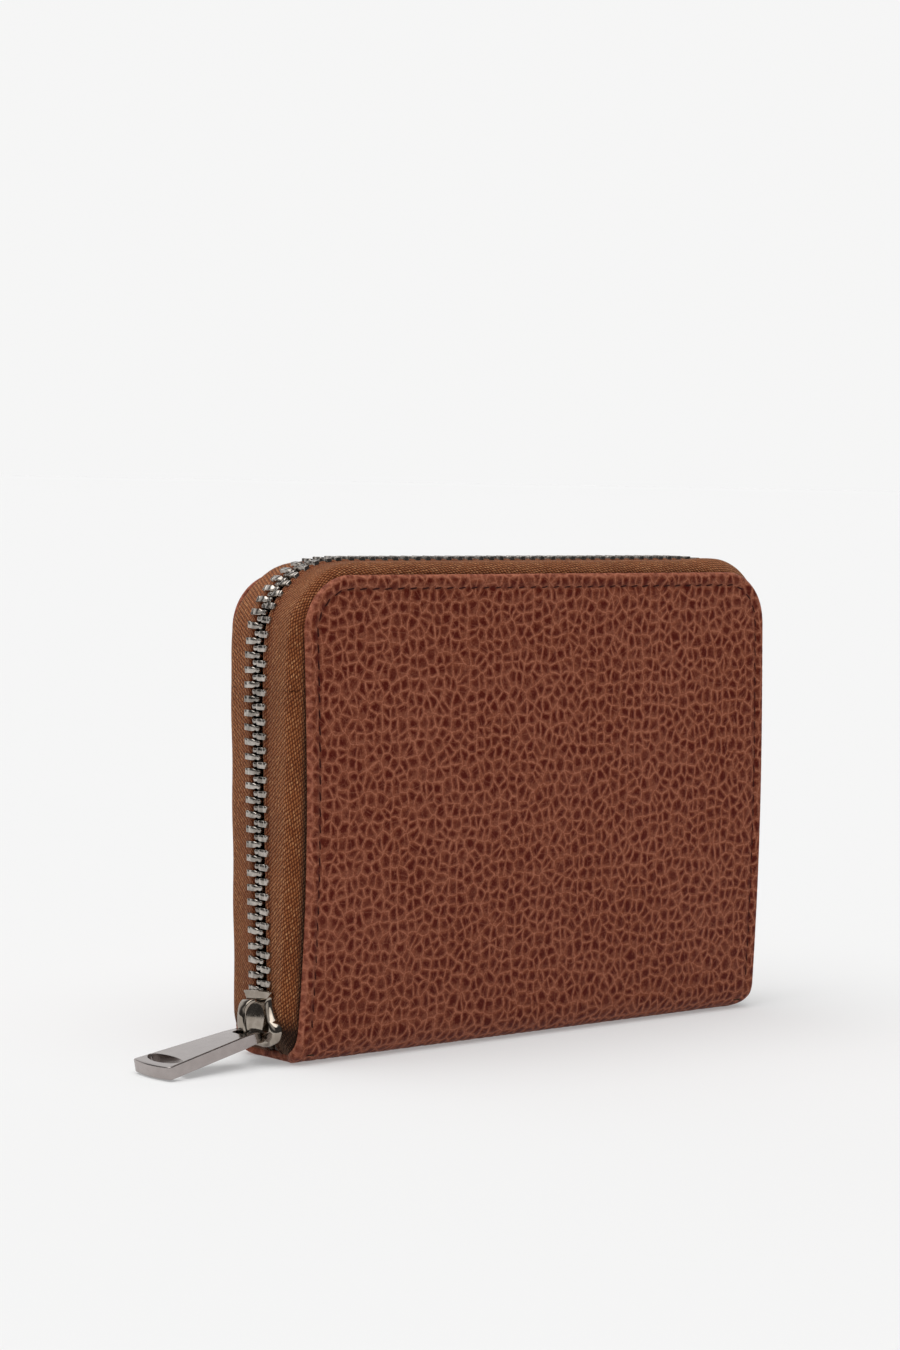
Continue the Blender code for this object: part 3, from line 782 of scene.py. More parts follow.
def cover_stitches(side):
    """The seam round one cover, of slightly slanting stitches."""
    word = WORDS[side]
    radius = CORNER - STITCH_INSET
    length = 2 * (TOP - CORNER - STITCH_START_Z) + PI * radius + CROWN
    count = int(length / STITCH_PITCH)
    points, faces = capsule(2.0, STITCH_RADIUS)
    tilt = np.radians(8) * -side
    parts = []
    for k in range(count):
        middle, out = path_round((k + 0.5) * length / count, STITCH_START_Z, radius)
        x, z = middle + radius * out
        x = pinch(side, x, z)
        direction = (out[1] * np.cos(tilt) + out[0] * np.sin(tilt), 0.0,
                     out[1] * np.sin(tilt) - out[0] * np.cos(tilt))
        y = side * (face_y(side, z) + BULGE * swell(x, z) - 0.26)
        parts.append((placed(points, (x, y, z), direction, (0, 1, 0)), faces))
    verts, polygons = merged(parts)
    obj = make_mesh(word + "_stitches", sag(side, verts), polygons, MATERIALS["thread"])
    dress(obj, None, word + "_cover")


# ---------------------------------------------------------------- the main zip

STRAIGHT = TOP - CORNER - TAPE_END
BEND = PI / 2 * (CORNER + CHAIN_OUT)
ZIP_LENGTH = 2 * STRAIGHT + 2 * BEND + CROWN


def zip_frame(s):
    """Point (x, z) on the cover's edge and outward direction, for a length along the chain."""
    middle, out = path_round(s, TAPE_END, CORNER + CHAIN_OUT)
    return middle + CORNER * out, out


def chain_y(s):
    """The chain's middle: it wanders towards the front as it comes down to the slider."""
    fall = np.clip((DRIFT_TOP - TAPE_END - s) / (DRIFT_TOP - SLIDER_Z), 0, None)
    return CHAIN_HIGH_Y + (CHAIN_LOW_Y - CHAIN_HIGH_Y) * fall


def corner_share(s, before, after):
    """1 in the middle of the zip's corner by the slider, 0 from a little before it to a little after."""
    return np.sin(PI * unit((s - STRAIGHT + before) / (BEND + before + after))) ** 2


def dip(s):
    """How far the chain lies inside its path: it cuts the corners, and tucks in at its ends."""
    end = unit((3.0 - np.minimum(s, ZIP_LENGTH - s)) / 7.0) ** 2
    return CORNER_DIP * (corner_share(s, 6, 6) + corner_share(ZIP_LENGTH - s, 6, 6)) + 3.0 * end


def hump(s):
    """How far the tape swells past the chain: only round the corner away from the slider."""
    return 1.3 * corner_share(ZIP_LENGTH - s, 8, 12)


def tape_line(edge_y):
    """The tape's middle line across its width, from its sewn flange to the chain, as (out, y)."""
    flange = [(-4.5 + 0.74 * k, 9.55) for k in range(4)]
    bend = [(-0.8 + 2.8 * np.sin(a), 9.55 - 2.2 * (1 - np.cos(a))) for a in np.linspace(0, PI / 2, 9)]
    flat = [(CHAIN_OUT, y) for y in np.linspace(7.35, edge_y, 14)[1:]]
    return np.array(flange + bend + flat)


def tape_section(side, s):
    """The tape's section at a length along the zip: (out, y) points, and each one's place across
    the cloth. Its inner edge is a bead that the teeth grip."""
    line = tape_line(2.20 + side * chain_y(s))
    along = directions(line)
    normal = np.stack([-along[:, 1], along[:, 0]], -1)
    thick = np.full(len(line), 0.30)
    thick[-3:] = (0.34, 0.56, 0.62)
    ripple = 0.07 * np.sin(s / 2.9) * unit((line[:, 1] - 3.0) / 3.0) * (line[:, 0] > 0)
    upper = line + normal * (thick + ripple)[:, None]
    lower = line - normal * (thick - ripple)[:, None]
    nose = line[-1] + along[-1] * [[0.40], [0.58], [0.40]] + normal[-1] * [[0.45], [0.0], [-0.45]]
    width = lengths(line)
    across = np.concatenate([width, width[-1] + np.array([0.5, 1.0, 1.5]), 2 * width[-1] + 2.0 - width[::-1]])
    return np.concatenate([upper, nose, lower[::-1]]), across


def zip_tape(side, name, s_from, s_to):
    """A stretch of one side's tape."""
    rings, sheets, shades, inners = [], [], [], []
    for s in np.linspace(s_from, s_to, int((s_to - s_from) / 0.8)):
        base, outward = zip_frame(s)
        section, across = tape_section(side, s)
        out, y = section.T
        reach = out - dip(s) * unit((out + 4.5) / 5.0)
        reach += hump(s) * np.sin(PI * unit((y - 3.0) / 6.0)) * (out > -1)
        z = base[1] + outward[1] * reach
        ring = lean(side, xyz(base[0] + outward[0] * reach, side * y, z))
        share = unit((y - 3.4) / 4.0)[:, None]
        rings.append(ring * (1 - share) + sag(side, ring) * share)
        sheets.append(xyz(s, across, 0.0))
        recess = unit((11.0 - z) / 4.5) ** 1.5
        shades.append(np.maximum(unit(1 - np.abs(out + 0.9) / 1.3), recess))
        inners.append(unit(1 - (y - 3.0) / 2.5))
    obj = make_mesh(name, *loft(rings), MATERIALS["tape"])
    store(obj, "sheet", np.concatenate(sheets))
    store(obj, "groove", np.concatenate(shades))
    store(obj, "rim", np.concatenate(inners))
    return obj


# Sections of a tooth: (across, half along the chain, half height, corner)
TOOTH_SECTIONS = (
    (3.04, 0.56, 1.00, 0.12), (2.98, 0.62, 1.08, 0.14), (2.90, 0.64, 1.12, 0.16),
    (2.35, 0.64, 1.12, 0.16), (2.28, 0.62, 1.07, 0.16), (2.21, 0.64, 1.12, 0.16),
    (1.00, 0.63, 1.12, 0.16), (0.62, 0.60, 1.06, 0.18), (0.38, 0.46, 0.86, 0.18),
    (0.12, 0.41, 0.76, 0.20), (-0.18, 0.48, 0.84, 0.26), (-0.55, 0.54, 0.90, 0.30),
    (-0.85, 0.46, 0.80, 0.28), (-1.00, 0.30, 0.52, 0.18),
)


def tooth():
    """A tooth of the chain: X along the chain, Y from its root towards the other side, Z outwards."""
    rings = []
    for across, half_along, half_high, radius in TOOTH_SECTIONS:
        ring = rounded_ring(half_along, half_high, radius, 2)
        rings.append(xyz(ring[:, 0], across, ring[:, 1]))
    return loft(rings)


def first_tooth(side):
    """Length along the zip to a side's first tooth: the two sides' teeth take turns."""
    return CHAIN_START_Z - TAPE_END + (0 if side < 0 else TOOTH_PITCH / 2)


def teeth(side, name, numbers, seed):
    """A run of teeth, each turned a little differently, as crimped teeth are."""
    random = np.random.default_rng(seed)
    points, faces = tooth()
    parts = []
    for k in numbers:
        s = first_tooth(side) + k * TOOTH_PITCH
        base, out = zip_frame(s)
        yaw, roll, scale = random.normal(0, 0.035), random.normal(0, 0.03), random.normal(1, 0.012)
        turned = points.copy()
        turned[:, 0] += turned[:, 1] * yaw
        turned[:, 2] += turned[:, 0] * roll
        turned *= (scale, side, 1)
        x, z = base + out * (CHAIN_OUT - dip(s))
        axes = np.array([(out[1], 0, -out[0]), (0, 1, 0), (out[0], 0, out[1])])
        parts.append((turned @ axes + (x, chain_y(s), z), faces))
    return make_mesh(name, *merged(parts), MATERIALS["teeth"])


def zip_side(side):
    """One side's tape and teeth: a lower stretch that parts behind the slider, and the rest."""
    word = WORDS[side]
    body = word + "_cover"
    split = PARTED - TAPE_END
    lower = round((split - first_tooth(side)) / TOOTH_PITCH)
    total = int((ZIP_LENGTH + 2 * TAPE_END - CHAIN_START_Z - CHAIN_END_Z) / TOOTH_PITCH)
    tapes = [zip_tape(side, word + "_tape_lower", -4.0, split + 0.4),
             zip_tape(side, word + "_tape_upper", split, ZIP_LENGTH + 4.0)]
    runs = [teeth(side, word + "_teeth_lower_run", range(0, lower), 11 + side),
            teeth(side, word + "_teeth_upper_run", range(lower, total), 21 + side)]
    for tape in tapes:
        dress(tape, word + "_zip_tape", body, 70)
    for run, part in zip(runs, ("lower", "upper")):
        dress(run, word + "_teeth_" + part, body, 38)
    for obj in (tapes[0], runs[0]):
        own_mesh(obj)


def stop_clip(side):
    """The clip that ends one side's teeth under the slider."""
    word = WORDS[side]
    ring = rounded_ring(0.62, 0.85, 0.25)
    middle_y = CHAIN_LOW_Y - 0.4 + side * 1.1
    rings = [xyz(ring[:, 1] * share - HALF + 0.9, middle_y + ring[:, 0] * share, z)
             for share, z in ((0.6, 2.2), (1, 2.4), (1, 3.5), (0.6, 3.7))]
    obj = make_mesh(word + "_stop_clip", *loft(rings), MATERIALS["stops"])
    dress(obj, word + "_top_stop", word + "_cover")


def bottom_stop():
    """The metal box that holds the two tapes together at the zip's far end."""
    low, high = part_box("bottom_stop")
    middle, half = (low + high) / 2 / MM, (high - low) / 2 / MM
    rings = []
    for share, z in ((0.82, -1.0), (0.96, -0.85), (1.0, -0.6), (1.0, -0.1), (0.94, 0.0),
                     (1.0, 0.1), (1.0, 0.6), (0.96, 0.85), (0.82, 1.0)):
        ring = rounded_ring(half.x * share, half.y * (0.5 + 0.5 * share), 0.45, 4)
        rings.append(xyz(*ring.T, z * half.z) + np.array(middle))
    obj = make_mesh("bottom_stop_box", *loft(rings), MATERIALS["teeth"])
    dress(obj, "bottom_stop", "spine", 40)


# ---------------------------------------------------------------- the slider and its pull

SLIDER_TILT = np.radians(6.0)
SLIDER_SHIFT = -0.3
STRAP_HALF = 0.98
METAL_EDGE = 50
# Half of the slider's plate seen from outside, (across, up), from the middle of its narrow end down
PLATE_HALF = (
    (0.0, 5.25), (2.2, 5.25), (3.5, 5.2), (4.0, 5.0), (3.9, 4.6), (3.55, 4.1), (3.5, 3.2),
    (3.75, 2.2), (4.15, 1.1), (4.6, 0.1), (4.95, -0.45), (5.45, -0.85), (5.85, -1.5), (6.0, -2.3),
    (5.9, -3.1), (5.45, -4.0), (4.7, -4.7), (3.6, -5.1), (2.4, -5.15), (1.2, -4.95), (0.0, -4.85),
)
# The strap's middle line seen from the side, (out, up)
STRAP_LINE = (
    (3.7, 3.2), (4.9, 3.5), (6.0, 3.25), (6.8, 2.5), (7.25, 1.3), (7.4, -0.2),
    (7.35, -1.6), (7.1, -2.8), (6.6, -3.65), (5.8, -4.15), (5.0, -4.25), (4.1, -4.1),
)


def on_slider(points):
    """From the slider's own (out, across, up) to the frame: it hangs a little askew on the chain."""
    out, across, up = points.T
    c, s = np.cos(SLIDER_TILT), np.sin(SLIDER_TILT)
    return xyz(-HALF - out, CHAIN_LOW_Y + SLIDER_SHIFT + across * c + up * s, SLIDER_Z + up * c - across * s)


def slider_plate(face, wall, rim_to, flare):
    """One plate of the slider, pressed so that its sides turn towards the chain, as (out, across, up)."""
    outline = mirrored(smooth_line(PLATE_HALF, 3), (-1, 1))
    into = inward(outline)
    up = outline[:, 1]
    turned = unit((4.7 - up) / 0.7) * np.clip((up + 5.0) / 0.7, 0.25, 1)
    lip = unit(up - 4.2) ** 2 * flare
    sign = np.sign(face)
    rim = face - sign * (wall + (abs(face - rim_to) - wall) * turned)
    rings = []
    for inset, drop in ((1.5, 0.0), (1.05, 0.04), (0.72, 0.14), (0.42, 0.34), (0.18, 0.62), (0.04, 0.98)):
        share = drop * turned + min(drop, 0.10) * (1 - turned)
        ring = outline * (1 - inset * (0.35 + 0.65 * turned) / 5.5)[:, None]
        rings.append(xyz(face - sign * share + sign * lip * (1 - inset / 2.2), *ring.T))
    top_out, top_ring = rings[0][:, 0] - face, rings[0][:, 1:]
    crown = [xyz(face + top_out * share ** 8, *(top_ring * share).T) for share in (0.12, 0.3, 0.5, 0.7, 0.88)]
    for inset, past in ((0.0, 0.25), (0.02, 0.05), (0.12, 0.0), (0.42, 0.0), (0.52, 0.08), (0.58, 0.6)):
        rings.append(xyz(rim + sign * (past * turned + lip * 0.9), *(outline + into * inset).T))
    rings.append(xyz(face + sign * (lip * 0.5 - wall), *(outline + into).T))
    verts, faces = loft(crown + rings)
    up = verts[:, 2]
    verts[:, 0] += sign * (0.20 - 0.0085 * (up + 4.5) ** 2 - 0.06 * (up + 3.0))
    return verts, faces


def slider_body():
    """The slider's two plates and the post between them."""
    wedge = rounded_ring(0.95, 1.6, 0.6)
    post = loft([xyz(out, wedge[:, 0], wedge[:, 1] - 2.6) for out in (0.3, 3.6)])
    inner_points, inner_faces = slider_plate(-0.55, 0.6, 1.2, 0.25)
    outer = slider_plate(4.35, 0.60, 2.55, 0.55)
    verts, faces = merged([outer, (inner_points * (1, 0.72, 0.85), inner_faces), post])
    obj = make_mesh("slider_shell", on_slider(verts), faces, MATERIALS["slider"])
    dress(obj, "slider_body", "slider", METAL_EDGE)


def swept(line, sections):
    """Rings of sections (across, thick) along a line in the plane of the first and third axes."""
    return [xyz(p - b * ring[:, 1], ring[:, 0], q + a * ring[:, 1])
            for (p, q), (a, b), ring in zip(line, directions(line), sections)]


def slider_bridge():
    """The strap over the slider, which holds the pull's eye."""
    line = smooth_line(STRAP_LINE, 5)
    halves = STRAP_HALF * (1.0 + 0.5 * unit((line[:, 1] - 1.5) / 2.0) ** 1.5)
    rings = swept(line, [rounded_ring(half, 0.40, 0.20, 4) for half in halves])
    for ring, half in zip(rings, halves):
        ring[:, 0] -= 0.14 * (ring[:, 1] / half) ** 2
    verts, faces = loft(rings)
    obj = make_mesh("slider_strap", on_slider(verts), faces, MATERIALS["slider"])
    dress(obj, "slider_bridge", "slider", METAL_EDGE)


PULL_PIVOT = np.array([-65.5, -2.6, 5.7])
PULL_DROOP = np.radians(10.7)
PULL_EDGE = ((0.22, 0.0), (0.08, 0.04), (0.02, 0.10), (0.0, 0.22))


def on_pull(points):
    """From the pull's (along, across, up) to the frame."""
    along, across, up = points.T
    c, s = np.cos(PULL_DROOP), np.sin(PULL_DROOP)
    return xyz(-along * c - up * s, across, up * c - along * s) + PULL_PIVOT


def pull_outline():
    """The pull seen from above, (along, across)."""
    half = [(-0.75, 0.0), (-0.75, 1.6), (-0.68, 2.3), (-0.4, 2.75), (0.1, 2.98)]
    half += [(1.0 + k * 2.6, 3.15 + k * 0.302) for k in range(9)]
    half += [(22.2, 5.60), (22.5, 5.42), (22.65, 5.0), (22.78, 4.2), (23.0, 2.8), (23.15, 1.4), (23.2, 0.0)]
    return mirrored(half)


def ladder(first, count):
    """Flat strips that fill an outline which is the same on both sides of its first and middle points."""
    last = count // 2
    faces = [[first, first + 1, first + count - 1]]
    for i in range(1, last - 1):
        faces.append([first + i, first + i + 1, first + count - i - 1, first + count - i])
    faces.append([first + last - 1, first + last, first + last + 1])
    return faces


def pull_plate():
    """The pull before its eye and slot are cut: a bar with softened edges, thinner at its hinge."""
    outline = pull_outline()
    into = inward(outline)
    thick = np.interp(outline[:, 0], (-0.75, 0.0, 1.0, 3.7), (1.1, 1.7, 2.2, 2.45)) / 2
    rings = [xyz(*(outline + into * inset).T, drop - thick) for inset, drop in PULL_EDGE]
    rings += [ring * (1, 1, -1) for ring in rings[::-1]]
    verts, faces = loft(rings)
    count = len(outline)
    faces = faces[:-2] + ladder(0, count) + ladder(len(verts) - count, count)
    return make_mesh("pull_plate", on_pull(verts), faces, MATERIALS["pull"])


def pull_tab():
    """The pull: a bevelled bar with an eye at its hinge and a lens-shaped slot near its tip."""
    body = pull_plate()
    eye = rounded_ring(1.22, 1.55, 0.7, 5) + (1.88, 0.0)
    angles = np.linspace(0, 2 * PI, 48, endpoint=False)
    reach = np.where(np.sin(angles) > 0, 2.3, 1.1)
    lens = np.stack([19.1 + reach * np.sin(angles), 4.9 * np.cos(angles)], -1)
    cutters = []
    for number, shape in enumerate((eye, lens)):
        verts, faces = loft([xyz(*shape.T, z) for z in (-4.0, 4.0)])
        cutters.append(make_mesh("cutter_" + str(number), on_pull(verts), faces, MATERIALS["pull"]))
        body.modifiers.new("cut", "BOOLEAN").object = cutters[-1]
    bevel = body.modifiers.new("bevel", "BEVEL")
    bevel.width = 0.14 * MM
    bevel.segments = 2
    bevel.angle_limit = np.radians(50)
    body.modifiers.new("weigh", "WEIGHTED_NORMAL").keep_sharp = True
    apply_modifiers(body)
    for cutter in cutters:
        bpy.data.objects.remove(cutter)
    dress(body, "pull_tab", "pull")


# ---------------------------------------------------------------- inside the wallet

def slab(name, material, half_x, low, top, middle_y, thick, columns=60, rows=40):
    """A thin upright layer: top(x) is its upper edge and middle_y(x, z) its place; its rim is rounded."""
    u = np.linspace(-1, 1, columns)
    x = np.tile((u + 0.06 * np.sin(PI * u)) * half_x, (rows, 1))
    z = low + (top(x[0]) - low) * np.linspace(0, 1, rows)[:, None]
    y = middle_y(x, z)
    near = xyz(x, y - thick / 2, z).reshape(-1, 3)
    far = xyz(x, y + thick / 2, z).reshape(-1, 3)
    faces, border = two_sided(rows, columns)
    centre = near.mean(0)
    rim = (near + far)[border[:-1]] / 2
    away = (rim - centre) * (1, 0, 1)
    away /= np.linalg.norm(away, axis=1)[:, None]
    verts = np.concatenate([near, far, rim + away * thick * 0.45])
    numbers = 2 * len(near) + np.arange(len(rim))
    numbers = np.append(numbers, numbers[0])
    faces += strip(border, numbers) + strip(numbers, border + len(near))
    obj = make_mesh(name, sag(np.sign(centre[1]), verts), faces, MATERIALS[material])
    store(obj, "sheet", verts[:, [0, 2, 1]] * (1, 1, 0))
    return obj


def cover_top(inset):
    """The upper edge of a layer that follows the cover's round corners at an inset."""
    radius = CORNER - inset

    def top(x):
        past = np.clip(np.abs(x) - (HALF - CORNER), 0, radius * 0.9999)
        return TOP - CORNER + np.sqrt(radius ** 2 - past ** 2)

    return top


def leaning(side, depth, wave=0.0):
    """The place of a layer that leans with its cover, as a function of x and z."""
    def middle_y(x, z):
        shift = (face_y(side, z) - CAD_FACE) * lean_share(depth)
        ripple = wave * np.sin(x / 11 + depth) * np.sin(z / 9 + 2 * depth)
        return side * (depth + shift + ripple)

    return middle_y


def stitch_row(places, direction):
    """Stitches at the given places, all along one direction."""
    points, faces = capsule(1.5, STITCH_RADIUS)
    return [(placed(points, place, direction, (0, 1, 0)), faces) for place in places]


def cover_inside(side):
    """Board, lining and card slots of one cover."""
    word = WORDS[side]
    body = word + "_cover"
    board = slab(word + "_stiffener", "board", HALF - 5, 6.5, cover_top(5), leaning(side, BOARD_Y), 0.7)
    dress(board, word + "_board", body)
    lining = slab(word + "_lining_cloth", "lining", HALF - 1.5, 6.0, cover_top(1.5),
                  leaning(side, LINING_Y, 0.04), 0.45, 90, 60)
    dress(lining, word + "_lining", body)
    for number, (depth, top) in enumerate(zip(SLOT_Y, SLOT_TOP), 1):
        slot = slab(word + "_slot_" + str(number), "inner", 50, SLOT_LOW, lambda x: np.full_like(x, top),
                    leaning(side, depth, 0.03), 0.38)
        dress(slot, word + "_card_slot_" + str(number), body)
    slot_stitches(side)


def slot_stitches(side):
    """The seams along the top and the two ends of each card slot of one cover."""
    word = WORDS[side]
    rows = []
    for depth, top, low in zip(SLOT_Y, SLOT_TOP, (*SLOT_TOP[1:], 10.0)):
        middle_y = leaning(side, depth)
        for x in (-48.2, 48.2):
            up = [(x, middle_y(x, z) - side * 0.17, z) for z in np.arange(low + 1.5, top - 1, STITCH_PITCH)]
            rows += stitch_row(up, (0, 0, 1))
        z = top - 2.0
        along = [(x, middle_y(x, z) - side * 0.17, z) for x in np.arange(-46.5, 47, STITCH_PITCH)]
        rows += stitch_row(along, (1, 0, 0))
    stitches = make_mesh(word + "_slot_stitches", *merged(rows), MATERIALS["thread"])
    dress(stitches, None, word + "_cover")


def gusset(side, end):
    """A folded side wall between the coin pocket and a cover; its fold runs deeper towards the top."""
    word, hand = WORDS[side], {-1: "left", 1: "right"}[end]
    rows, columns = 32, 25
    z = np.linspace(8, 70, rows)[:, None]
    across = np.linspace(0, 1, columns)
    depth = 4 + 18 * (z - 8) / 62
    fold = np.sqrt((1 - np.abs(2 * across - 1)) ** 2 + 0.006) - np.sqrt(0.006)
    skins = []
    for thick in (-0.108, 0.108):
        x = end * (56 - depth * fold + thick)
        y = side * (3.05 + 3.45 * across + thick * np.sign(across - 0.5))
        skins.append(xyz(x, y, z).reshape(-1, 3))
    verts = np.concatenate(skins)
    faces, border = two_sided(rows, columns)
    faces += strip(border, border + rows * columns)
    obj = make_mesh("{}_{}_gusset_fold".format(word, hand), verts, faces, MATERIALS["inner"])
    store(obj, "sheet", xyz(np.tile(across * 40, 2 * rows), verts[:, 2], 0.0))
    dress(obj, "{}_{}_gusset".format(word, hand))
    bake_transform(obj)


def coin_pocket():
    """The pocket in the middle: a flat bag with a soft swell, its zip along the top."""
    half = np.array([52, 2.55])
    outline = rounded_ring(*half, 1.4, 4)
    points = np.concatenate([np.linspace(a, b, 14, endpoint=False) if abs(a[0] - b[0]) > 20 else [a]
                             for a, b in zip(outline, np.roll(outline, -1, 0))])
    run = lengths(points)
    heights = np.concatenate([[3.0], np.linspace(3.6, 73.6, 36), [74.0]])
    rings, sheets = [], []
    for wall, levels in ((0.0, heights), (0.5, heights[:0:-1])):
        for z in levels:
            inset = wall + (0.25 if z in (heights[0], heights[-1]) else 0.0)
            bulge = 0.14 * np.sin(PI * (z - 3) / 71) * np.cos(points[:, 0] / 16)
            bulge *= np.sign(points[:, 1]) * (1 - (points[:, 0] / half[0]) ** 2)
            x, y = (points * (1 - inset / half)).T
            rings.append(xyz(x, y + bulge, z))
            sheets.append(xyz(run, z + 100 * wall, 0.0))
    obj = make_mesh("coin_bag", *loft(rings), MATERIALS["inner"])
    store(obj, "sheet", np.concatenate(sheets))
    dress(obj, "coin_pocket", "spine")


def coin_zip(side):
    """One tape and one coil of the coin pocket's zip."""
    word = WORDS[side]
    section = np.array([(1.0, -0.22), (1.0, 0.22), (1.8, 0.25), (2.6, 0.22), (2.7, 0.0), (2.6, -0.22),
                        (1.8, -0.25)])
    verts, faces = loft([xyz(x, side * section[:, 0], 74.4 + section[:, 1] + 0.03 * np.sin(x / 3))
                         for x in np.linspace(-50, 50, 90)])
    tape = make_mesh("coin_tape_strip_" + word, verts, faces, MATERIALS["tape"])
    store(tape, "sheet", verts[:, [0, 1, 1]] * (1, 1, 0))
    dress(tape, "coin_tape_" + word, "spine")
    turns = np.linspace(0, COIL_TURNS, COIL_TURNS * 10)
    angle = turns * 2 * PI + (0 if side < 0 else PI)
    line = xyz(-50 + turns * 100 / COIL_TURNS, side * 0.52 + 0.36 * np.cos(angle),
               74.65 + 0.46 * np.sin(angle))
    coil = make_mesh("coin_coil_spiral_" + word, *tube(line, 0.14, 6), MATERIALS["coil"])
    dress(coil, "coin_coil_" + word, "spine")


def coin_slider():
    """The coin zip's slider: a waisted body under a small arch."""
    angle = np.linspace(0, 2 * PI, 32, endpoint=False)
    c, s = np.cos(angle), np.sin(angle)
    waist = 1.25 + 0.5 * unit(-c)
    rings = []
    for inset, z in ((0.35, 74.95), (0.08, 75.1), (0.0, 75.35), (0.0, 75.7), (0.12, 76.0), (0.45, 76.15)):
        rings.append(xyz((3.5 - inset) * np.sign(c) * np.abs(c) ** 0.6 - 44.5,
                         (waist - inset) * np.sign(s) * np.abs(s) ** 0.5, z))
    arch = smooth_line([(-46.6, 76.0), (-46.3, 76.9), (-45.4, 77.5), (-44.2, 77.55), (-43.2, 77.0),
                        (-42.9, 76.0)])
    section = rounded_ring(0.5, 0.2, 0.12, 2)
    verts, faces = merged([loft(rings), loft(swept(arch, [section] * len(arch)))])
    obj = make_mesh("coin_slider_shell", verts, faces, MATERIALS["slider"])
    dress(obj, "coin_slider_body", "coin_slider", METAL_EDGE)


def coin_pull():
    """The coin zip's pull: a thin tab that lies along the zip."""
    half = [(-44.75, 0.0), (-44.7, 0.9), (-44.3, 1.4), (-43.2, 1.5), (-41.5, 1.6), (-38.0, 1.95),
            (-34.5, 2.2), (-33.2, 2.1), (-32.6, 1.4), (-32.5, 0.0)]
    outline = mirrored(smooth_line(half, 3))
    into = inward(outline)
    rings = [xyz(*(outline + into * inset).T, z) for inset, z in ((0.22, 76.60), (0.08, 76.64), (0.0, 76.78))]
    rings += [ring * (1, 1, -1) + (0, 0, 2 * COIN_PULL_Z) for ring in rings[::-1]]
    obj = make_mesh("coin_pull_tab", *loft(rings), MATERIALS["pull"])
    dress(obj, "coin_pull", "coin_pull", 40)


def spine_layer(name, material, node, half_x, half_y, z, thick):
    """A flat layer in the spine, with rounded edges."""
    half = [(-1, 0.0), (-0.98, 0.7), (-0.9, 1.0), (-0.5, 1.0), (0, 1.0), (0.5, 1.0), (0.9, 1.0),
            (0.98, 0.7), (1, 0.0)]
    across, high = mirrored(half).T
    rings = []
    for u in np.linspace(-1, 1, 40):
        end = 1 - 0.25 * max(abs(u) - 0.97, 0) / 0.03
        wave = 0.05 * np.cos(u * 9)
        rings.append(xyz(u * half_x, across * half_y, z + high * thick * end + wave))
    verts, faces = loft(rings)
    obj = make_mesh(name, verts, faces, MATERIALS[material])
    store(obj, "sheet", verts[:, [0, 1, 1]] * (1, 1, 0))
    return dress(obj, node, "spine")


# ---------------------------------------------------------------- studio

def put_camera(scene):
    data = bpy.data.cameras.new("camera")
    data.lens = 85.33
    data.clip_start = 0.01
    data.clip_end = 200
    camera = bpy.data.objects.new("camera", data)
    scene.collection.objects.link(camera)
    scene.camera = camera
    yaw, pitch, roll = np.radians((40.57, 3.51, 1.05))
    forward = Vector((np.sin(yaw) * np.cos(pitch), np.cos(yaw) * np.cos(pitch), -np.sin(pitch)))
    right = Vector((np.cos(yaw), -np.sin(yaw), 0))
    up = right.cross(forward)
    right, up = right * np.cos(roll) + up * np.sin(roll), up * np.cos(roll) - right * np.sin(roll)
    basis = Matrix((right, up, -forward)).transposed().to_4x4()
    camera.matrix_world = Matrix.Translation((-0.4203, -0.4720, 0.1091)) @ basis


def put_sun(scene):
    data = bpy.data.lights.new("key", "SUN")
    data.energy = 1.72
    data.angle = np.radians(75)
    sun = bpy.data.objects.new("key", data)
    scene.collection.objects.link(sun)
    sun.rotation_euler = Vector((0.16, 0.16, -0.97)).to_track_quat("-Z", "Y").to_euler()


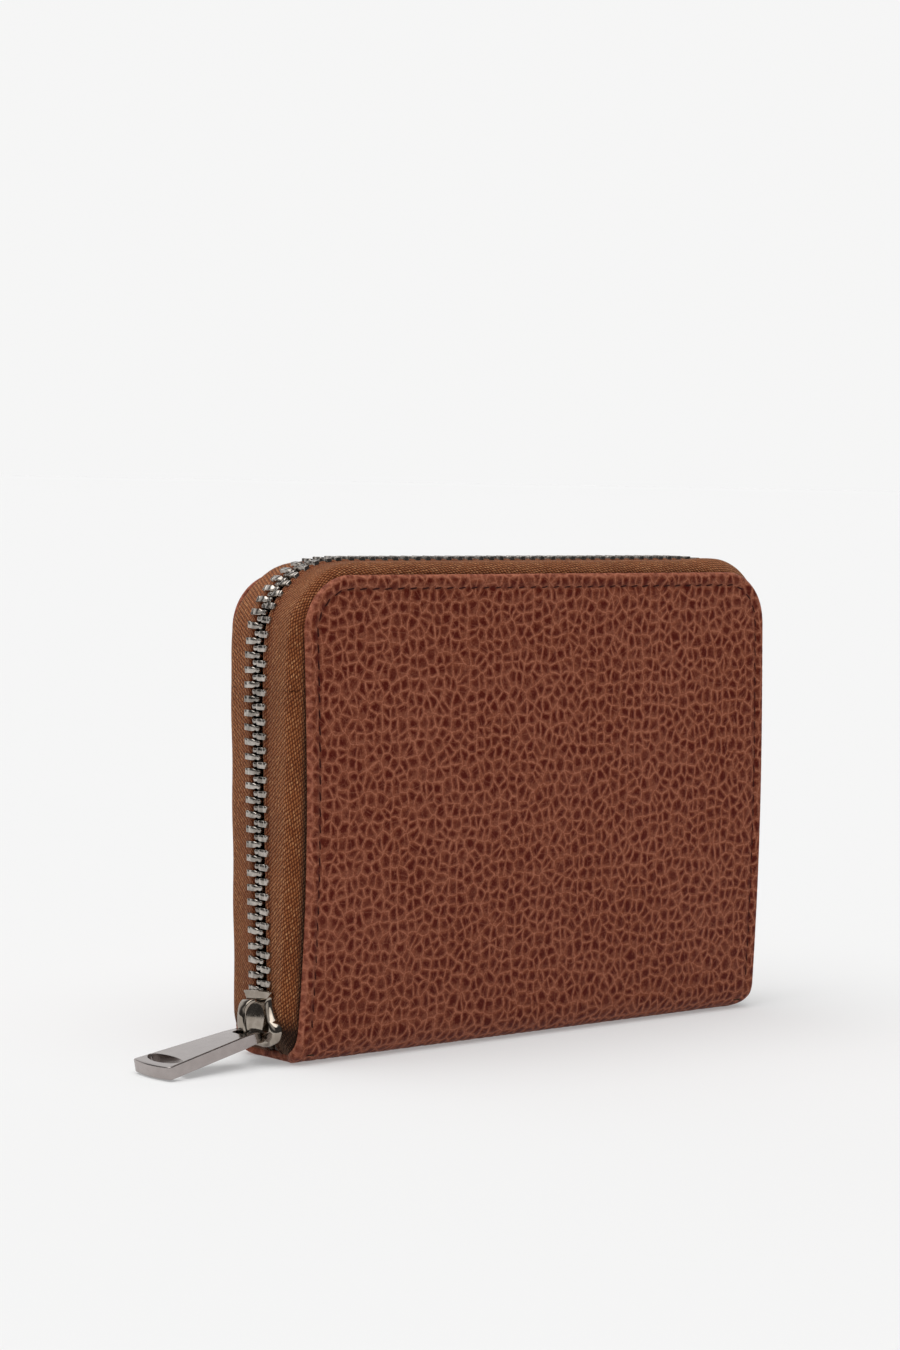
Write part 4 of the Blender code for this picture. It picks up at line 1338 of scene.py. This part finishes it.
def put_floor():
    """A translucent table lit from below, which keeps the shadows pale."""
    material, shader, _ = new_material("pale_floor", roughness=1.0, specular=0.0)
    shader.inputs["Base Color"].default_value = (0.545, 0.545, 0.548, 1)
    shader.inputs["Emission Color"].default_value = (1.0, 1.0, 1.0, 1)
    shader.inputs["Emission Strength"].default_value = 0.29
    corners = [(-6e4, -6e4, 0), (6e4, -6e4, 0), (6e4, 6e4, 0), (-6e4, 6e4, 0)]
    make_mesh("floor", corners, [(0, 1, 2, 3)], material)


def put_backdrop(scene):
    """A pale backdrop; what lights the wallet is a bright band behind it, soft boxes to the left and
    above, and grey elsewhere."""
    world = bpy.data.worlds.new("studio")
    scene.world = world
    world.use_nodes = True
    nodes = Nodes(world.node_tree)
    x, y, z = nodes.split(world.node_tree.nodes.new("ShaderNodeTexCoord").outputs["Generated"])
    behind = nodes.math("ADD", nodes.math("MULTIPLY", x, 0.65), nodes.math("MULTIPLY", y, 0.76))
    band = nodes.math("MULTIPLY", nodes.spread(behind, 0.25, 0.60), nodes.spread(z, 0.40, 0.62, 1.0, 0.0))
    left = nodes.math("MULTIPLY", nodes.spread(x, -0.85, -0.55, 1.0, 0.0), nodes.spread(z, 0.18, 0.34))
    above = nodes.math("MULTIPLY", nodes.spread(z, 0.62, 0.80), nodes.spread(x, -0.2, 0.3, 1.0, 0.15))
    light = nodes.mix(band, (0.07, 0.07, 0.072, 1), (0.90, 0.90, 0.90, 1))
    light = nodes.mix(left, light, (0.70, 0.70, 0.69, 1))
    light = nodes.mix(above, light, (1.50, 1.50, 1.47, 1))
    seen = world.node_tree.nodes.new("ShaderNodeLightPath").outputs["Is Camera Ray"]
    background = world.node_tree.nodes["Background"]
    nodes.put(nodes.mix(seen, light, (0.920, 0.920, 0.918, 1)), background.inputs["Color"])


def studio():
    scene = bpy.context.scene
    scene.view_settings.view_transform = "Standard"
    put_camera(scene)
    put_backdrop(scene)
    put_sun(scene)
    put_floor()


studio()
for side in (-1, 1):
    leather_shell(side)
    cover_stitches(side)
    zip_side(side)
    stop_clip(side)
    cover_inside(side)
    for end in (-1, 1):
        gusset(side, end)
slider_body()
slider_bridge()
pull_tab()
coin_pocket()
for side in (-1, 1):
    coin_zip(side)
coin_slider()
coin_pull()
spine_layer("spine_stiffener", "board", "spine_board", 53, 6.8, 1.65, 0.35)
lining = spine_layer("spine_lining_cloth", "lining", "spine_lining", 55, 7.8, 2.45, 0.22)
bottom_stop()
